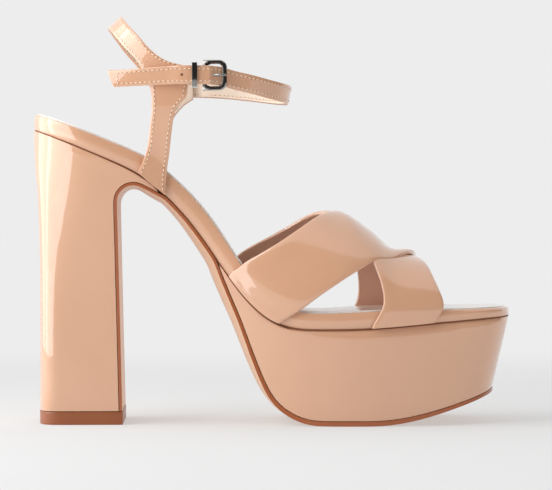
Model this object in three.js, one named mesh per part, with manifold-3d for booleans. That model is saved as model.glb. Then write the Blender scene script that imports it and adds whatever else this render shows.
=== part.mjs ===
// A high block-heel platform sandal for the right foot, in millimetres.
// +X runs from heel to toe, +Y to the inner side of the foot and +Z up.
// The origin is the centre of the heel tip's underside, on the floor.
import * as THREE from "three";
import { mergeVertices } from "three/addons/utils/BufferGeometryUtils.js";
import Module from "manifold-3d";

const wasm = await Module();
wasm.setup();

// Overall form
const shoeLength = 215.6; // back of the heel seat to the toe tip
const seatHeight = 131.7; // floor to the footbed's underside at the back
const platformHeight = 42.3; // floor to the footbed's underside at the ball
const ballWidth = 77; // widest width of the footbed
const gap = 0.3; // clearance between two pieces that meet

// Heel
const heelTipLength = 38;
const heelTipWidth = 45;
const heelTipHeight = 5.8;
const heelOverhang = 3; // how far the seat reaches behind the heel tip
const breastLean = 2.3; // how far the breast leans back on its way up
const archRadius = 8.6; // round top of the breast, under the arch
const archTopDrop = 24.2; // the arch's round top below the seat's back

// Footbed, sock and outsole
const footbedThickness = 8.6; // at its thickest, across the arch
const footbedEdge = 2.2; // rounding of the footbed's top edge
const sockThickness = 1.2;
const sockCrown = 0.6; // the sock rises by this much in its middle
const sockInset = 1.8;
const outsoleThickness = 2.1;
const breastThickness = 1.3; // the outsole on the heel's breast and under the arch
const toeThickness = 1.5; // the outsole at the toe
const waistBulge = 3.4; // how far the outsole bellies out under the arch
const platformTaper = 2; // the platform's sides lean in by this much at the floor
const toeRake = 7.4; // the platform's front leans back by this much at the floor
const platformEdge = 1.2; // rounding along the platform's top edge

// Crossed straps over the toes
const vampHeight = 49; // crest over the seam at the crossing
const vampWall = 2;
const vampClearance = 0.4; // from the footbed's side to the straps' lining
const vampSkive = 0.55; // the straps thin to this share of vampWall at their feet
const skiveGirth = 0.07; // over this share of the way round
const crossingBlend = 8; // length over which one strap climbs onto the other
const crossingSink = 0.8; // how deep the upper strap is bedded into the lower one
const foreLegShift = 6; // the front inner leg is fixed this much further back
const rearLegShift = 1.5; // and the rear one this much
const rearEdgeBow = 3; // the lower strap's rear edge bows back by this much over the inner side

// Quarter, ankle strap and buckle
const ankleRise = 50.7; // top of the back strap over the seat's back
const ankleWidth = 60;
const ankleFront = 113.8; // front of the ankle loop, along the shoe from its back
const ankleBack = 34.6; // back of the ankle loop at the back strap's lower edge
const backLean = 1.085; // how steeply the back strap leans forwards as it rises
const frontLean = 0.2;
const quarterWall = 1.8;
const innerLegSlim = 1.2; // degrees that the inner leg's front edge is set back by
const strapWidth = 8.2;
const strapWall = 1.6;
const tabWidth = 7.6; // buckle tab, and the quarter's tongue inside it
const tabWall = 0.8;
const buckleLength = 9.9;
const buckleHeight = 13.4;
const buckleWire = 1.8;
const prongWire = 1.1;
const keeperWidth = 2.3;
const keeperWall = 0.9;

const heelBack = -(heelTipLength / 2 + heelOverhang);
const toeTip = heelBack + shoeLength;
const along = (share) => heelBack + share * shoeLength;

// Height of the seam under the footbed, as a share of the way from platform to seat.
const seamRows = [
  { at: 0, rise: 1 },
  { at: 0.084, rise: 0.918 },
  { at: 0.165, rise: 0.837 },
  { at: 0.225, rise: 0.765 },
  { at: 0.278, rise: 0.663 },
  { at: 0.329, rise: 0.53 },
  { at: 0.37, rise: 0.395 },
  { at: 0.41, rise: 0.253 },
  { at: 0.45, rise: 0.135 },
  { at: 0.491, rise: 0.052 },
  { at: 0.535, rise: 0.01 },
  { at: 0.593, rise: 0 },
  { at: 0.695, rise: 0.005 },
  { at: 0.827, rise: 0.031 },
  { at: 1, rise: 0.065 },
];

// Footbed outline from above, outer and inner half-widths as shares of ballWidth,
// and its thickness as a share of footbedThickness.
const planRows = [
  { at: 0, outer: 0.345, inner: 0.345, thick: 0.85 },
  { at: 0.06, outer: 0.352, inner: 0.352, thick: 0.92 },
  { at: 0.125, outer: 0.357, inner: 0.355, thick: 0.95 },
  { at: 0.22, outer: 0.345, inner: 0.332, thick: 0.98 },
  { at: 0.32, outer: 0.322, inner: 0.295, thick: 1 },
  { at: 0.4, outer: 0.345, inner: 0.3, thick: 1 },
  { at: 0.47, outer: 0.402, inner: 0.35, thick: 0.97 },
  { at: 0.54, outer: 0.456, inner: 0.417, thick: 0.93 },
  { at: 0.62, outer: 0.489, inner: 0.475, thick: 0.9 },
  { at: 0.7, outer: 0.496, inner: 0.502, thick: 0.95 },
  { at: 0.78, outer: 0.478, inner: 0.505, thick: 0.84 },
  { at: 0.86, outer: 0.44, inner: 0.487, thick: 0.68 },
  { at: 0.93, outer: 0.397, inner: 0.456, thick: 0.58 },
  { at: 1, outer: 0.345, inner: 0.417, thick: 0.5 },
];

// The platform's back below the seam, with heights as shares of platformHeight.
const platformBackRows = [
  { at: 0.3926, height: 1.589 },
  { at: 0.4014, height: 1.485 },
  { at: 0.4144, height: 1.322 },
  { at: 0.4325, height: 1.109 },
  { at: 0.4511, height: 0.849 },
  { at: 0.4715, height: 0.577 },
  { at: 0.4919, height: 0.35 },
  { at: 0.5123, height: 0.213 },
  { at: 0.5327, height: 0.1395 },
  { at: 0.5531, height: 0.088 },
  { at: 0.573, height: 0.058 },
  { at: 0.59, height: 0.0497 },
];
const heelRound = { length: 24, power: 2.15 };
const toeRound = { length: 20, power: 2.5 };

// Crest of the foot's form over the seam, as a share of vampHeight.
const crestRows = [
  { at: 0.38, crest: 1.24 },
  { at: 0.473, crest: 1.21 },
  { at: 0.542, crest: 1.15 },
  { at: 0.589, crest: 1.09 },
  { at: 0.622, crest: 1.035 },
  { at: 0.654, crest: 0.985 },
  { at: 0.687, crest: 0.895 },
  { at: 0.71, crest: 0.81 },
  { at: 0.73, crest: 0.72 },
  { at: 0.751, crest: 0.655 },
  { at: 0.775, crest: 0.615 },
  { at: 0.8, crest: 0.58 },
  { at: 0.83, crest: 0.535 },
  { at: 0.87, crest: 0.47 },
];

// Edges of the strap from the outer heel side to the inner toe side; the other is its mirror.
// girth runs over the foot from the outer seam, 0, to the inner one, 1.
const strapRows = [
  { girth: 0, rear: 0.407, front: 0.512 },
  { girth: 0.03, rear: 0.425, front: 0.553 },
  { girth: 0.067, rear: 0.444, front: 0.594 },
  { girth: 0.108, rear: 0.466, front: 0.634 },
  { girth: 0.155, rear: 0.492, front: 0.669 },
  { girth: 0.228, rear: 0.533, front: 0.705 },
  { girth: 0.3, rear: 0.57, front: 0.737 },
  { girth: 0.4, rear: 0.608, front: 0.774 },
  { girth: 0.5, rear: 0.636, front: 0.8 },
  { girth: 0.6, rear: 0.656, front: 0.814 },
  { girth: 0.7, rear: 0.68, front: 0.823 },
  { girth: 0.78, rear: 0.701, front: 0.83 },
  { girth: 0.865, rear: 0.717, front: 0.841 },
  { girth: 0.918, rear: 0.721, front: 0.846 },
  { girth: 0.952, rear: 0.717, front: 0.844 },
  { girth: 1, rear: 0.697, front: 0.829 },
];

// The quarter from its foot on the seam, up the leg and round to the back of the ankle.
// Each row has its lower or rear edge and its upper or front edge: degrees round the
// ankle from the side, and height over the seat as a share of ankleRise.
const legRows = [
  { lowTurn: 13.8, lowRise: -0.371, highTurn: 7.1, highRise: -0.501 },
  { lowTurn: 13.3, lowRise: -0.266, highTurn: 7.2, highRise: -0.351 },
  { lowTurn: 13.2, lowRise: -0.154, highTurn: 7.1, highRise: -0.221 },
  { lowTurn: 13.7, lowRise: -0.024, highTurn: 7.2, highRise: -0.073 },
  { lowTurn: 14.3, lowRise: 0.108, highTurn: 7.2, highRise: 0.065 },
  { lowTurn: 15, lowRise: 0.195, highTurn: 6.8, highRise: 0.148 },
  { lowTurn: 15.8, lowRise: 0.262, highTurn: 5.7, highRise: 0.201 },
  { lowTurn: 16.7, lowRise: 0.312, highTurn: 3.8, highRise: 0.262 },
];
const bandRows = [
  { lowTurn: 23.5, lowRise: 0.505, highTurn: 8.2, highRise: 0.547 },
  { lowTurn: 26.5, lowRise: 0.556, highTurn: 13.6, highRise: 0.576 },
  { lowTurn: 30, lowRise: 0.604, highTurn: 19, highRise: 0.625 },
  { lowTurn: 37.5, lowRise: 0.679, highTurn: 26, highRise: 0.702 },
  { lowTurn: 48.8, lowRise: 0.765, highTurn: 36, highRise: 0.803 },
  { lowTurn: 60, lowRise: 0.825, highTurn: 51.2, highRise: 0.899 },
  { lowTurn: 74, lowRise: 0.868, highTurn: 70, highRise: 0.973 },
  { lowTurn: 90, lowRise: 0.884, highTurn: 90, highRise: 1 },
];

// The ankle strap's lower edge from the inner tab round the front to its free tip.
const ankleStrapRows = [
  { turn: -189, rise: 0.345, layer: 1, width: 1 },
  { turn: -180.4, rise: 0.34, layer: 1, width: 1 },
  { turn: -175.5, rise: 0.336, layer: 0.3, width: 1 },
  { turn: -171, rise: 0.333, layer: 0, width: 1 },
  { turn: -160, rise: 0.322, layer: 0, width: 1 },
  { turn: -147, rise: 0.302, layer: 0, width: 1 },
  { turn: -131, rise: 0.276, layer: 0, width: 1 },
  { turn: -117, rise: 0.256, layer: 0, width: 1 },
  { turn: -104, rise: 0.245, layer: 0, width: 1 },
  { turn: -90, rise: 0.24, layer: 0, width: 1 },
  { turn: -76, rise: 0.242, layer: 0, width: 1 },
  { turn: -63, rise: 0.25, layer: 0, width: 1 },
  { turn: -49, rise: 0.268, layer: 0, width: 1 },
  { turn: -33, rise: 0.304, layer: 0, width: 1 },
  { turn: -24, rise: 0.326, layer: 0, width: 1 },
  { turn: -17, rise: 0.349, layer: 0.25, width: 1 },
  { turn: -12.6, rise: 0.363, layer: 0.45, width: 1 },
  { turn: -9.6, rise: 0.366, layer: 0.75, width: 1 },
  { turn: -7, rise: 0.368, layer: 1.5, width: 1 },
  { turn: -5, rise: 0.369, layer: 1.55, width: 1 },
  { turn: 0, rise: 0.37, layer: 1.55, width: 1 },
  { turn: 6, rise: 0.369, layer: 1.55, width: 1 },
  { turn: 12, rise: 0.364, layer: 1.15, width: 1 },
  { turn: 20, rise: 0.355, layer: 1, width: 0.97 },
  { turn: 27, rise: 0.344, layer: 1.1, width: 0.93 },
  { turn: 31, rise: 0.338, layer: 1.2, width: 0.87 },
];
const tipSlant = 3.8; // the free tip's upper corner reaches past its lower one

const scratch = new THREE.Vector3();

// A natural cubic spline through rows, as a function of the column named by key.
function splineOf(rows, key, value) {
  const x = rows.map((row) => row[key]);
  const y = rows.map((row) => row[value]);
  const last = x.length - 1;
  const bend = new Array(last + 1).fill(0);
  const upper = new Array(last + 1).fill(0);
  for (let i = 1; i < last; i++) {
    const before = x[i] - x[i - 1];
    const after = x[i + 1] - x[i];
    const pull = (y[i + 1] - y[i]) / after - (y[i] - y[i - 1]) / before;
    const pivot = 2 * (before + after) - before * upper[i - 1];
    upper[i] = after / pivot;
    bend[i] = (6 * pull - before * bend[i - 1]) / pivot;
  }
  for (let i = last - 1; i > 0; i--) bend[i] -= upper[i] * bend[i + 1];
  return (at) => {
    let i = 1;
    while (i < last && at > x[i]) i++;
    const h = x[i] - x[i - 1];
    const a = (x[i] - at) / h;
    const b = 1 - a;
    const curve = (a ** 3 - a) * bend[i - 1] + (b ** 3 - b) * bend[i];
    return a * y[i - 1] + b * y[i] + (curve * h * h) / 6;
  };
}

const clamp01 = (t) => Math.min(1, Math.max(0, t));
const ease = (t) => clamp01(t) ** 2 * (3 - 2 * clamp01(t));
const mix = THREE.MathUtils.lerp;
const radians = THREE.MathUtils.degToRad;
const point = (x, y, z) => new THREE.Vector3(x, y, z);

// Closes a skin over a row of section loops of equal length. Each loop runs down one
// side and back up the other, so that point j faces the point j from its end.
function loft(loops) {
  const positions = [];
  const face = (a, b, c) => {
    const apart = (p, q) => p.distanceTo(q) > 2e-3;
    if (apart(a, b) && apart(b, c) && apart(c, a)) {
      for (const p of [a, b, c]) positions.push(p.x, p.y, p.z);
    }
  };
  const quad = (a, b, c, d) => {
    face(a, b, c);
    face(a, c, d);
  };
  const count = loops[0].length;
  for (let i = 0; i + 1 < loops.length; i++) {
    for (let j = 0; j < count; j++) {
      const k = (j + 1) % count;
      quad(loops[i][j], loops[i][k], loops[i + 1][k], loops[i + 1][j]);
    }
  }
  const cap = (loop) => {
    for (let j = 0; j + 1 < count / 2; j++) {
      quad(loop[j], loop[count - 1 - j], loop[count - 2 - j], loop[j + 1]);
    }
  };
  cap(loops[0]);
  cap([...loops[loops.length - 1]].reverse());
  const geometry = new THREE.BufferGeometry();
  geometry.setAttribute("position", new THREE.Float32BufferAttribute(positions, 3));
  return facingOut(geometry);
}

// Turns the faces round where the skin encloses a negative volume.
function facingOut(geometry) {
  const p = geometry.attributes.position;
  const a = new THREE.Vector3();
  const b = new THREE.Vector3();
  const c = new THREE.Vector3();
  let volume = 0;
  for (let i = 0; i < p.count; i += 3) {
    a.fromBufferAttribute(p, i);
    b.fromBufferAttribute(p, i + 1);
    c.fromBufferAttribute(p, i + 2);
    volume += a.dot(scratch.crossVectors(b, c));
  }
  if (volume < 0) {
    for (let i = 0; i < p.count; i += 3) {
      a.fromBufferAttribute(p, i + 1);
      b.fromBufferAttribute(p, i + 2);
      p.setXYZ(i + 1, b.x, b.y, b.z);
      p.setXYZ(i + 2, a.x, a.y, a.z);
    }
  }
  return geometry;
}

function solidOf(geometry) {
  const bare = geometry.index ? geometry.toNonIndexed() : geometry.clone();
  bare.deleteAttribute("normal");
  bare.deleteAttribute("uv");
  const merged = mergeVertices(bare, 1e-3);
  return new wasm.Manifold(
    new wasm.Mesh({
      numProp: 3,
      vertProperties: merged.attributes.position.array,
      triVerts: new Uint32Array(merged.index.array),
    }),
  );
}

function geometryOf(solid) {
  const mesh = solid.getMesh();
  const geometry = new THREE.BufferGeometry();
  geometry.setAttribute("position", new THREE.BufferAttribute(mesh.vertProperties, 3));
  geometry.setIndex(new THREE.BufferAttribute(mesh.triVerts, 1));
  return geometry;
}

// Shares from 0 to 1, count steps apart.
const steps = (count) => Array.from({ length: count + 1 }, (_, i) => i / count);

// The foot's form: seam, outline and crest
const seamShare = splineOf(seamRows, "at", "rise");
const outerShare = splineOf(planRows, "at", "outer");
const innerShare = splineOf(planRows, "at", "inner");
const thickShare = splineOf(planRows, "at", "thick");
const crestShare = splineOf(crestRows, "at", "crest");
const shareOf = (x) => (x - heelBack) / shoeLength;

function seamZ(x) {
  return mix(platformHeight, seatHeight, seamShare(shareOf(x)));
}

function seamSlope(x) {
  const step = 0.5;
  return (seamZ(x + step) - seamZ(x - step)) / (2 * step);
}

function endRound(distance, round) {
  const left = clamp01(1 - distance / round.length);
  return (1 - left ** round.power) ** (1 / round.power);
}

// Half-width of the footbed at x; side is -1 on the outer side and 1 on the inner one.
function halfWidth(x, side) {
  const share = side < 0 ? outerShare(shareOf(x)) : innerShare(shareOf(x));
  const ends = endRound(x - heelBack, heelRound) * endRound(toeTip - x, toeRound);
  return ballWidth * share * ends;
}

function footbedTop(x) {
  const across = Math.hypot(1, seamSlope(x));
  return seamZ(x) + footbedThickness * thickShare(shareOf(x)) * across;
}

// Stations along X, close together where the ends close in.
function stations(from, to, roundFrom, roundTo, straight) {
  const list = [];
  const ends = 7;
  const start = roundFrom ? from + roundFrom.length : from;
  const stop = roundTo ? to - roundTo.length : to;
  if (roundFrom) {
    for (const t of steps(ends).slice(0, -1)) {
      const angle = (t * Math.PI) / 2;
      list.push(from + roundFrom.length * (1 - Math.cos(angle) ** (2 / roundFrom.power)));
    }
  }
  for (const t of steps(straight)) list.push(mix(start, stop, t));
  if (roundTo) {
    for (const t of steps(ends).slice(0, -1).reverse()) {
      const angle = (t * Math.PI) / 2;
      list.push(to - roundTo.length * (1 - Math.cos(angle) ** (2 / roundTo.power)));
    }
  }
  return list;
}

// A point on the outline at x, moved inwards by inset, square to the outline.
function outlinePoint(x, side, inset) {
  const width = halfWidth(x, side);
  if (x - heelBack < 1e-6) return { x: x + inset, y: 0 };
  if (toeTip - x < 1e-6) return { x: x - inset, y: 0 };
  const step = Math.min(0.05, (x - heelBack) / 2, (toeTip - x) / 2);
  const slope = (halfWidth(x + step, side) - halfWidth(x - step, side)) / (2 * step);
  const length = Math.hypot(1, slope);
  const y = side * (width - inset / length);
  return { x: x + (inset * slope) / length, y: side * Math.max(0, side * y) };
}

// A crowned sheet over the outline, between two heights. rows go up one side: inset and
// share of the height; crown lifts the middle.
function sheet(xs, rows, low, high, crown) {
  const across = 4;
  return loft(
    xs.map((x) => {
      const sidePoints = (side) =>
        rows.map(({ inset, up }) => {
          const at = outlinePoint(x, side, inset);
          return point(at.x, at.y, mix(low(at.x), high(at.x), up));
        });
      const outer = sidePoints(-1);
      const inner = sidePoints(1);
      const bridge = (a, b, lift) =>
        steps(across)
          .slice(1, -1)
          .map((t) => {
            const p = new THREE.Vector3().lerpVectors(a, b, t);
            const width = Math.abs(a.y - b.y) / ballWidth;
            p.z += lift * Math.min(1, 2 * width) * (1 - (2 * t - 1) ** 4);
            return p;
          });
      const top = rows.length - 1;
      const floor = bridge(inner[0], outer[0], 0);
      const roof = bridge(outer[top], inner[top], crown);
      // The loop starts halfway up no side, so that its two halves face each other.
      const half = floor.length / 2;
      return [
        ...floor.slice(Math.ceil(half)),
        ...outer,
        ...roof,
        ...[...inner].reverse(),
        ...floor.slice(0, Math.ceil(half)),
      ];
    }),
  );
}

function footbed() {
  const rows = [
    { inset: 0.3, up: 0 },
    { inset: 0, up: 0.06 },
    { inset: 0, up: 0.7 },
    { inset: footbedEdge * 0.3, up: 0.9 },
    { inset: footbedEdge, up: 1 },
  ];
  const xs = stations(heelBack, toeTip, heelRound, toeRound, 26);
  return sheet(xs, rows, (x) => seamZ(x) + gap / 2, footbedTop, 0);
}

function sock() {
  const rows = [
    { inset: footbedEdge, up: 0 },
    { inset: footbedEdge, up: 0.5 },
    { inset: footbedEdge + sockInset / 2, up: 1 },
  ];
  const xs = stations(heelBack, toeTip, heelRound, toeRound, 26);
  const low = (x) => footbedTop(x) + gap;
  const high = (x) => low(x) + sockThickness * Math.hypot(1, seamSlope(x));
  return sheet(xs, rows, low, high, sockCrown);
}

// The line from the heel tip up the breast, round the arch and under the footbed to
// where the platform starts, then down the platform's back and along the floor. It is
// the outsole's inner face, and the heel and platform end against it.
const breastFoot = new THREE.Vector2(
  heelTipLength / 2 - breastThickness - 0.2,
  heelTipHeight + gap,
);
const arch = new THREE.Vector2(
  breastFoot.x - breastLean + archRadius,
  seatHeight - archTopDrop - archRadius,
);
const wedgeTip = along(0.278); // where heel and footbed meet over the arch
const platformBack = along(0.383); // where platform and footbed meet
const flatStart = along(0.59);
const flatEnd = along(0.7);
const platformToe = toeTip - toeRake;
const springHeight = 15.9; // the platform's underside over the floor at the toe

function breastCurve() {
  const path = new THREE.Path();
  path.moveTo(breastFoot.x, breastFoot.y);
  path.lineTo(arch.x - archRadius, arch.y);
  const leave = radians(62);
  path.absarc(arch.x, arch.y, archRadius, Math.PI, leave, true);
  const from = path.currentPoint.clone();
  const reach = (wedgeTip - from.x) * 0.55;
  path.quadraticCurveTo(
    from.x + reach,
    from.y - reach / Math.tan(leave),
    wedgeTip,
    seamZ(wedgeTip) - gap,
  );
  return path;
}

function underCurve() {
  const points = steps(12).map((t) => {
    const x = mix(wedgeTip, platformBack, t);
    return new THREE.Vector2(x, seamZ(x) - gap);
  });
  return new THREE.Path(points);
}

function platformCurve() {
  const path = new THREE.Path();
  path.moveTo(platformBack, seamZ(platformBack) - gap);
  path.splineThru(
    platformBackRows.map(
      ({ at, height }) => new THREE.Vector2(along(at), height * platformHeight),
    ),
  );
  const floor = outsoleThickness;
  path.lineTo(flatEnd, floor);
  path.bezierCurveTo(
    mix(flatEnd, platformToe, 0.35),
    floor,
    mix(flatEnd, platformToe, 0.72),
    floor + (springHeight - floor) * 0.6,
    platformToe,
    springHeight,
  );
  return path;
}

const breast = breastCurve();
const under = underCurve();
const ground = platformCurve();

// Half-width of the platform's underside at x, which leans in from the footbed's outline.
function groundHalfWidth(x, side) {
  const planX = x < flatEnd ? x : mix(flatEnd, toeTip, (x - flatEnd) / (platformToe - flatEnd));
  const down = clamp01((footbedTop(x) - groundZ(x)) / platformHeight);
  const taper = platformTaper * down * endRound(toeTip - planX, toeRound);
  return Math.max(0, halfWidth(planX, side) - taper);
}

const groundPoints = ground.getSpacedPoints(240);
function groundZ(x) {
  let i = 1;
  while (i < groundPoints.length - 1 && x > groundPoints[i].x) i++;
  const a = groundPoints[i - 1];
  const b = groundPoints[i];
  return mix(a.y, b.y, clamp01((x - a.x) / (b.x - a.x)));
}

// Shares along the ground curve, close together at the toe.
function groundShares() {
  const length = ground.getLength();
  const round = toeRound.length / length;
  const list = steps(26).map((t) => t * (1 - round));
  for (const t of steps(8).slice(1)) {
    list.push(1 - round * (1 - Math.sin((t * Math.PI) / 2) ** (2 / toeRound.power)));
  }
  return list;
}

function platform() {
  const rows = [
    { down: 0, inset: platformEdge },
    { down: 0.04, inset: platformEdge * 0.25 },
    { down: 0.1, inset: 0 },
    { down: 0.5, inset: 0 },
    { down: 1, inset: 0 },
  ];
  const topStart = platformBack + 2 * gap;
  const topLength = toeTip - topStart;
  const shares = groundShares();
  return loft(
    shares.map((share) => {
      const low = ground.getPointAt(Math.max(share, 0.01));
      const run = ground.getTangentAt(share);
      const closing = endRoundShare(share);
      const topX = closing === null ? topStart + topLength * topShare(share) : toeTip - closing;
      const side = (sign) =>
        rows.map(({ down, inset }) => {
          const x = mix(topX, low.x - run.y * gap, down);
          const z = mix(seamZ(topX) - gap, low.y + run.x * gap, down);
          const top = outlinePoint(topX, sign, 0);
          const bottom = sign * groundHalfWidth(low.x, sign);
          const y = mix(top.y, bottom, down);
          const kept = Math.max(0, Math.abs(y) - inset);
          return point(x - (toeTip - topX < 1e-6 ? inset : 0), sign * kept, z);
        });
      return [...side(-1), ...side(1).reverse()];
    }),
  );
}

// Distance to the toe tip for shares on the round toe, and null before it.
function endRoundShare(share) {
  const round = toeRound.length / ground.getLength();
  if (share < 1 - round - 1e-9) return null;
  return ((1 - share) / round) * toeRound.length;
}

function topShare(share) {
  const round = toeRound.length / ground.getLength();
  const stop = 1 - toeRound.length / (toeTip - platformBack - 2 * gap);
  return (share / (1 - round)) * stop;
}

// Shares along the breast: a few up its straight part and more round the arch.
const breastBend = 0.74;
const breastShares = [
  ...steps(4).map((t) => t * breastBend),
  ...steps(14)
    .slice(1)
    .map((t) => mix(breastBend, 1, t)),
];

// The outsole: one strip from the heel tip to the toe. bulge bellies its outer face.
function outsole() {
  const strips = [];
  const add = (curve, share, width, thick, bulge) => {
    strips.push({ at: curve.getPointAt(share), width, thick, bulge });
  };
  for (const t of breastShares) {
    const width = (side) => heelHalfWidth(t, 1, side);
    const above = ease((t - breastBend) / (1 - breastBend));
    add(breast, t, width, breastThickness, waistBulge * above * 0.6);
  }
  for (const t of steps(8).slice(1)) {
    const x = mix(wedgeTip, platformBack, t);
    const bulge = waistBulge * mix(0.6, 1, ease(t));
    add(under, t, (side) => halfWidth(x, side), breastThickness, bulge);
  }
  for (const t of groundShares().slice(1)) {
    const x = ground.getPointAt(t).x;
    const lift = ease((flatStart - x) / (flatStart - platformBack));
    const spring = ease((x - flatEnd) / (platformToe - flatEnd));
    const flat = mix(outsoleThickness, breastThickness, lift);
    const thick = mix(flat, toeThickness, spring);
    add(ground, t, (side) => groundHalfWidth(x, side), thick, waistBulge * lift);
  }
  const across = [0, 0.2, 0.4, 0.6, 0.8, 1];
  return loft(
    strips.map(({ at, width, thick, bulge }, i) => {
      const before = strips[Math.max(0, i - 1)].at;
      const after = strips[Math.min(strips.length - 1, i + 1)].at;
      const run = after.clone().sub(before).normalize();
      const upright = ease((at.x - flatEnd) / (platformToe - flatEnd));
      const out = new THREE.Vector2(run.y * (1 - upright), -run.x).normalize();
      const y = (t) => mix(-width(-1), width(1), t);
      const inner = across.map((t) => point(at.x, y(t), at.y));
      const outer = across.map((t) => {
        const deep = thick + bulge * (1 - (2 * t - 1) ** 2);
        return point(at.x + out.x * deep, y(t), at.y + out.y * deep);
      });
      return [...inner, ...outer.reverse()];
    }),
  );
}

// The covered heel. Its levels are shares of the breast's length, from the tip up to
// heelTopShare, and its outline goes from a soft square to the seat's outline.
const heelTopShare = 0.97;
function heelBackPoint(level) {
  const top = seatHeight - gap;
  const z = mix(heelTipHeight + gap, top, level);
  const flare = ease((z - seatHeight * 0.62) / (seatHeight * 0.38)) ** 1.4;
  return new THREE.Vector2(mix(-heelTipLength / 2, heelBack, flare), z);
}

function heelChord(level, share) {
  const front = breast.getPointAt(level);
  const tangent = breast.getTangentAt(level);
  const back = heelBackPoint(level / heelTopShare);
  return {
    x: mix(back.x, front.x - gap * tangent.y, share),
    z: mix(back.y, front.y + gap * tangent.x, share),
  };
}

// The levels bow up towards the seam, and their fronts stay on the breast.
function heelPoint(level, share) {
  const chord = heelChord(level, share);
  const top = heelChord(heelTopShare, share);
  const bow = share < 1 ? seamZ(top.x) - gap - top.z : 0;
  return { x: chord.x, z: chord.z + bow * (level / heelTopShare) ** 5 };
}

function heelHalfWidth(level, share, side) {
  const { x } = heelPoint(level, share);
  const depth = share * heelTipLength;
  const tip = (heelTipWidth / 2) * endRound(depth, { length: heelTipLength * 0.27, power: 3 });
  const flare = ease((level - 0.35) / 0.65);
  return mix(tip, halfWidth(x, side), flare);
}

function heel() {
  const levels = breastShares.filter((share) => share < heelTopShare - 0.01);
  levels.push(heelTopShare);
  const rounding = steps(6).map((t) => 0.4 * (1 - Math.cos((t * Math.PI) / 2) ** 0.85));
  const shares = [...rounding, 0.6, 0.78, 0.9, 0.97, 1].reverse();
  return loft(
    levels.map((level) => {
      const side = (sign) =>
        shares.map((share) => {
          const { x, z } = heelPoint(level, share);
          return point(x, sign * heelHalfWidth(level, share, sign), z);
        });
      return [...side(-1), ...side(1).reverse()];
    }),
  );
}

function heelTip() {
  const rounding = steps(6).map((t) => 0.4 * (1 - Math.cos((t * Math.PI) / 2) ** 0.85));
  const shares = [...rounding, 1].reverse();
  const outline = (z) => {
    const side = (sign) =>
      shares.map((share) => {
        const x = mix(-heelTipLength / 2, heelTipLength / 2, share);
        return point(x, sign * heelHalfWidth(0, share, sign), z);
      });
    return [...side(-1), ...side(1).reverse()];
  };
  return loft([outline(0), outline(heelTipHeight)]);
}

// The crossed straps lie on a rounded arch over the footbed.
const archPower = 2.4;
const rearEdge = splineOf(strapRows, "girth", "rear");
const frontEdge = splineOf(strapRows, "girth", "front");

function vampForm(x, girth) {
  const angle = Math.PI * girth;
  const c = Math.cos(angle);
  const s = Math.max(0, Math.sin(angle));
  const side = c > 0 ? -1 : 1;
  const reach = halfWidth(x, side) + vampClearance;
  const rise = vampHeight * crestShare(shareOf(x));
  return point(
    x,
    side * Math.abs(c) ** (2 / archPower) * reach,
    seamZ(x) + gap + rise * s ** (2 / archPower),
  );
}

function vampPoint(x, girth, offset) {
  const dx = 0.5;
  const dg = 0.004;
  const low = Math.max(0, girth - dg);
  const high = Math.min(1, girth + dg);
  const alongX = vampForm(x + dx, girth).sub(vampForm(x - dx, girth));
  const alongG = vampForm(x, high).sub(vampForm(x, low));
  const normal = alongG.cross(alongX).normalize();
  if (normal.dot(point(0, girth - 0.5, 0.3 * Math.sin(Math.PI * girth))) < 0) normal.negate();
  return vampForm(x, girth).addScaledVector(normal, offset);
}

// Strap edges at a girth: the first strap, or the second as its mirror.
function strapEdges(girth, mirrored) {
  const at = mirrored ? 1 - girth : girth;
  const shift = (mirrored ? rearLegShift : foreLegShift) * ease((girth - 0.5) / 0.5);
  const bow = mirrored ? rearEdgeBow * Math.sin(Math.PI * clamp01((girth - 0.46) / 0.54)) : 0;
  return [along(rearEdge(at)) - shift - bow, along(frontEdge(at)) - shift];
}

function crossedStrap(mirrored) {
  const lift = (x, girth) => {
    if (mirrored) return 0;
    const [rear, front] = strapEdges(girth, true);
    const inside = Math.min(x - rear, front - x);
    return (vampWall - crossingSink) * ease(inside / crossingBlend + 1);
  };
  return loft(
    steps(34).map((girth) => {
      const [rear, front] = strapEdges(girth, mirrored);
      const footing = ease(Math.min(girth, 1 - girth) / skiveGirth);
      const wall = vampWall * mix(vampSkive, 1, footing);
      const xs = steps(8).map((t) => mix(rear, front, t));
      const inner = xs.map((x) => vampPoint(x, girth, lift(x, girth)));
      const outer = xs.map((x) => vampPoint(x, girth, lift(x, girth) + wall));
      return [...inner, ...outer.reverse()];
    }),
  );
}

function vampStraps() {
  const over = solidOf(crossedStrap(false));
  const beneath = solidOf(crossedStrap(true));
  return geometryOf(over.add(beneath));
}

// The ankle's form: round at the ankle, and against the footbed's side below.
const ankleCentre = (heelBack + ankleBack + heelBack + ankleFront) / 2;
const lowestBand = 0.884; // the back strap's lower edge at the back, as a rise
const riseZ = (rise) => seatHeight + rise * ankleRise;

function ankleForm(turn, z) {
  const angle = radians(turn);
  const back = heelBack + ankleBack + (z - riseZ(lowestBand)) * backLean;
  const front = heelBack + ankleFront + (z - riseZ(0.23)) * frontLean;
  const s = Math.sin(angle);
  const x = s > 0 ? ankleCentre - (ankleCentre - back) * s : ankleCentre - (front - ankleCentre) * s;
  const side = Math.cos(angle) > 0 ? -1 : 1;
  const round = side * (ankleWidth / 2) * Math.abs(Math.cos(angle));
  const rim = side * (halfWidth(x, side) + gap);
  const lift = ease((z - footbedTop(x)) / (riseZ(0.25) - footbedTop(x)));
  const onLeg = Math.abs(Math.cos(angle)) > 0.9 && s > 0;
  return point(x, onLeg ? mix(rim, round, lift) : round, z);
}

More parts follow.
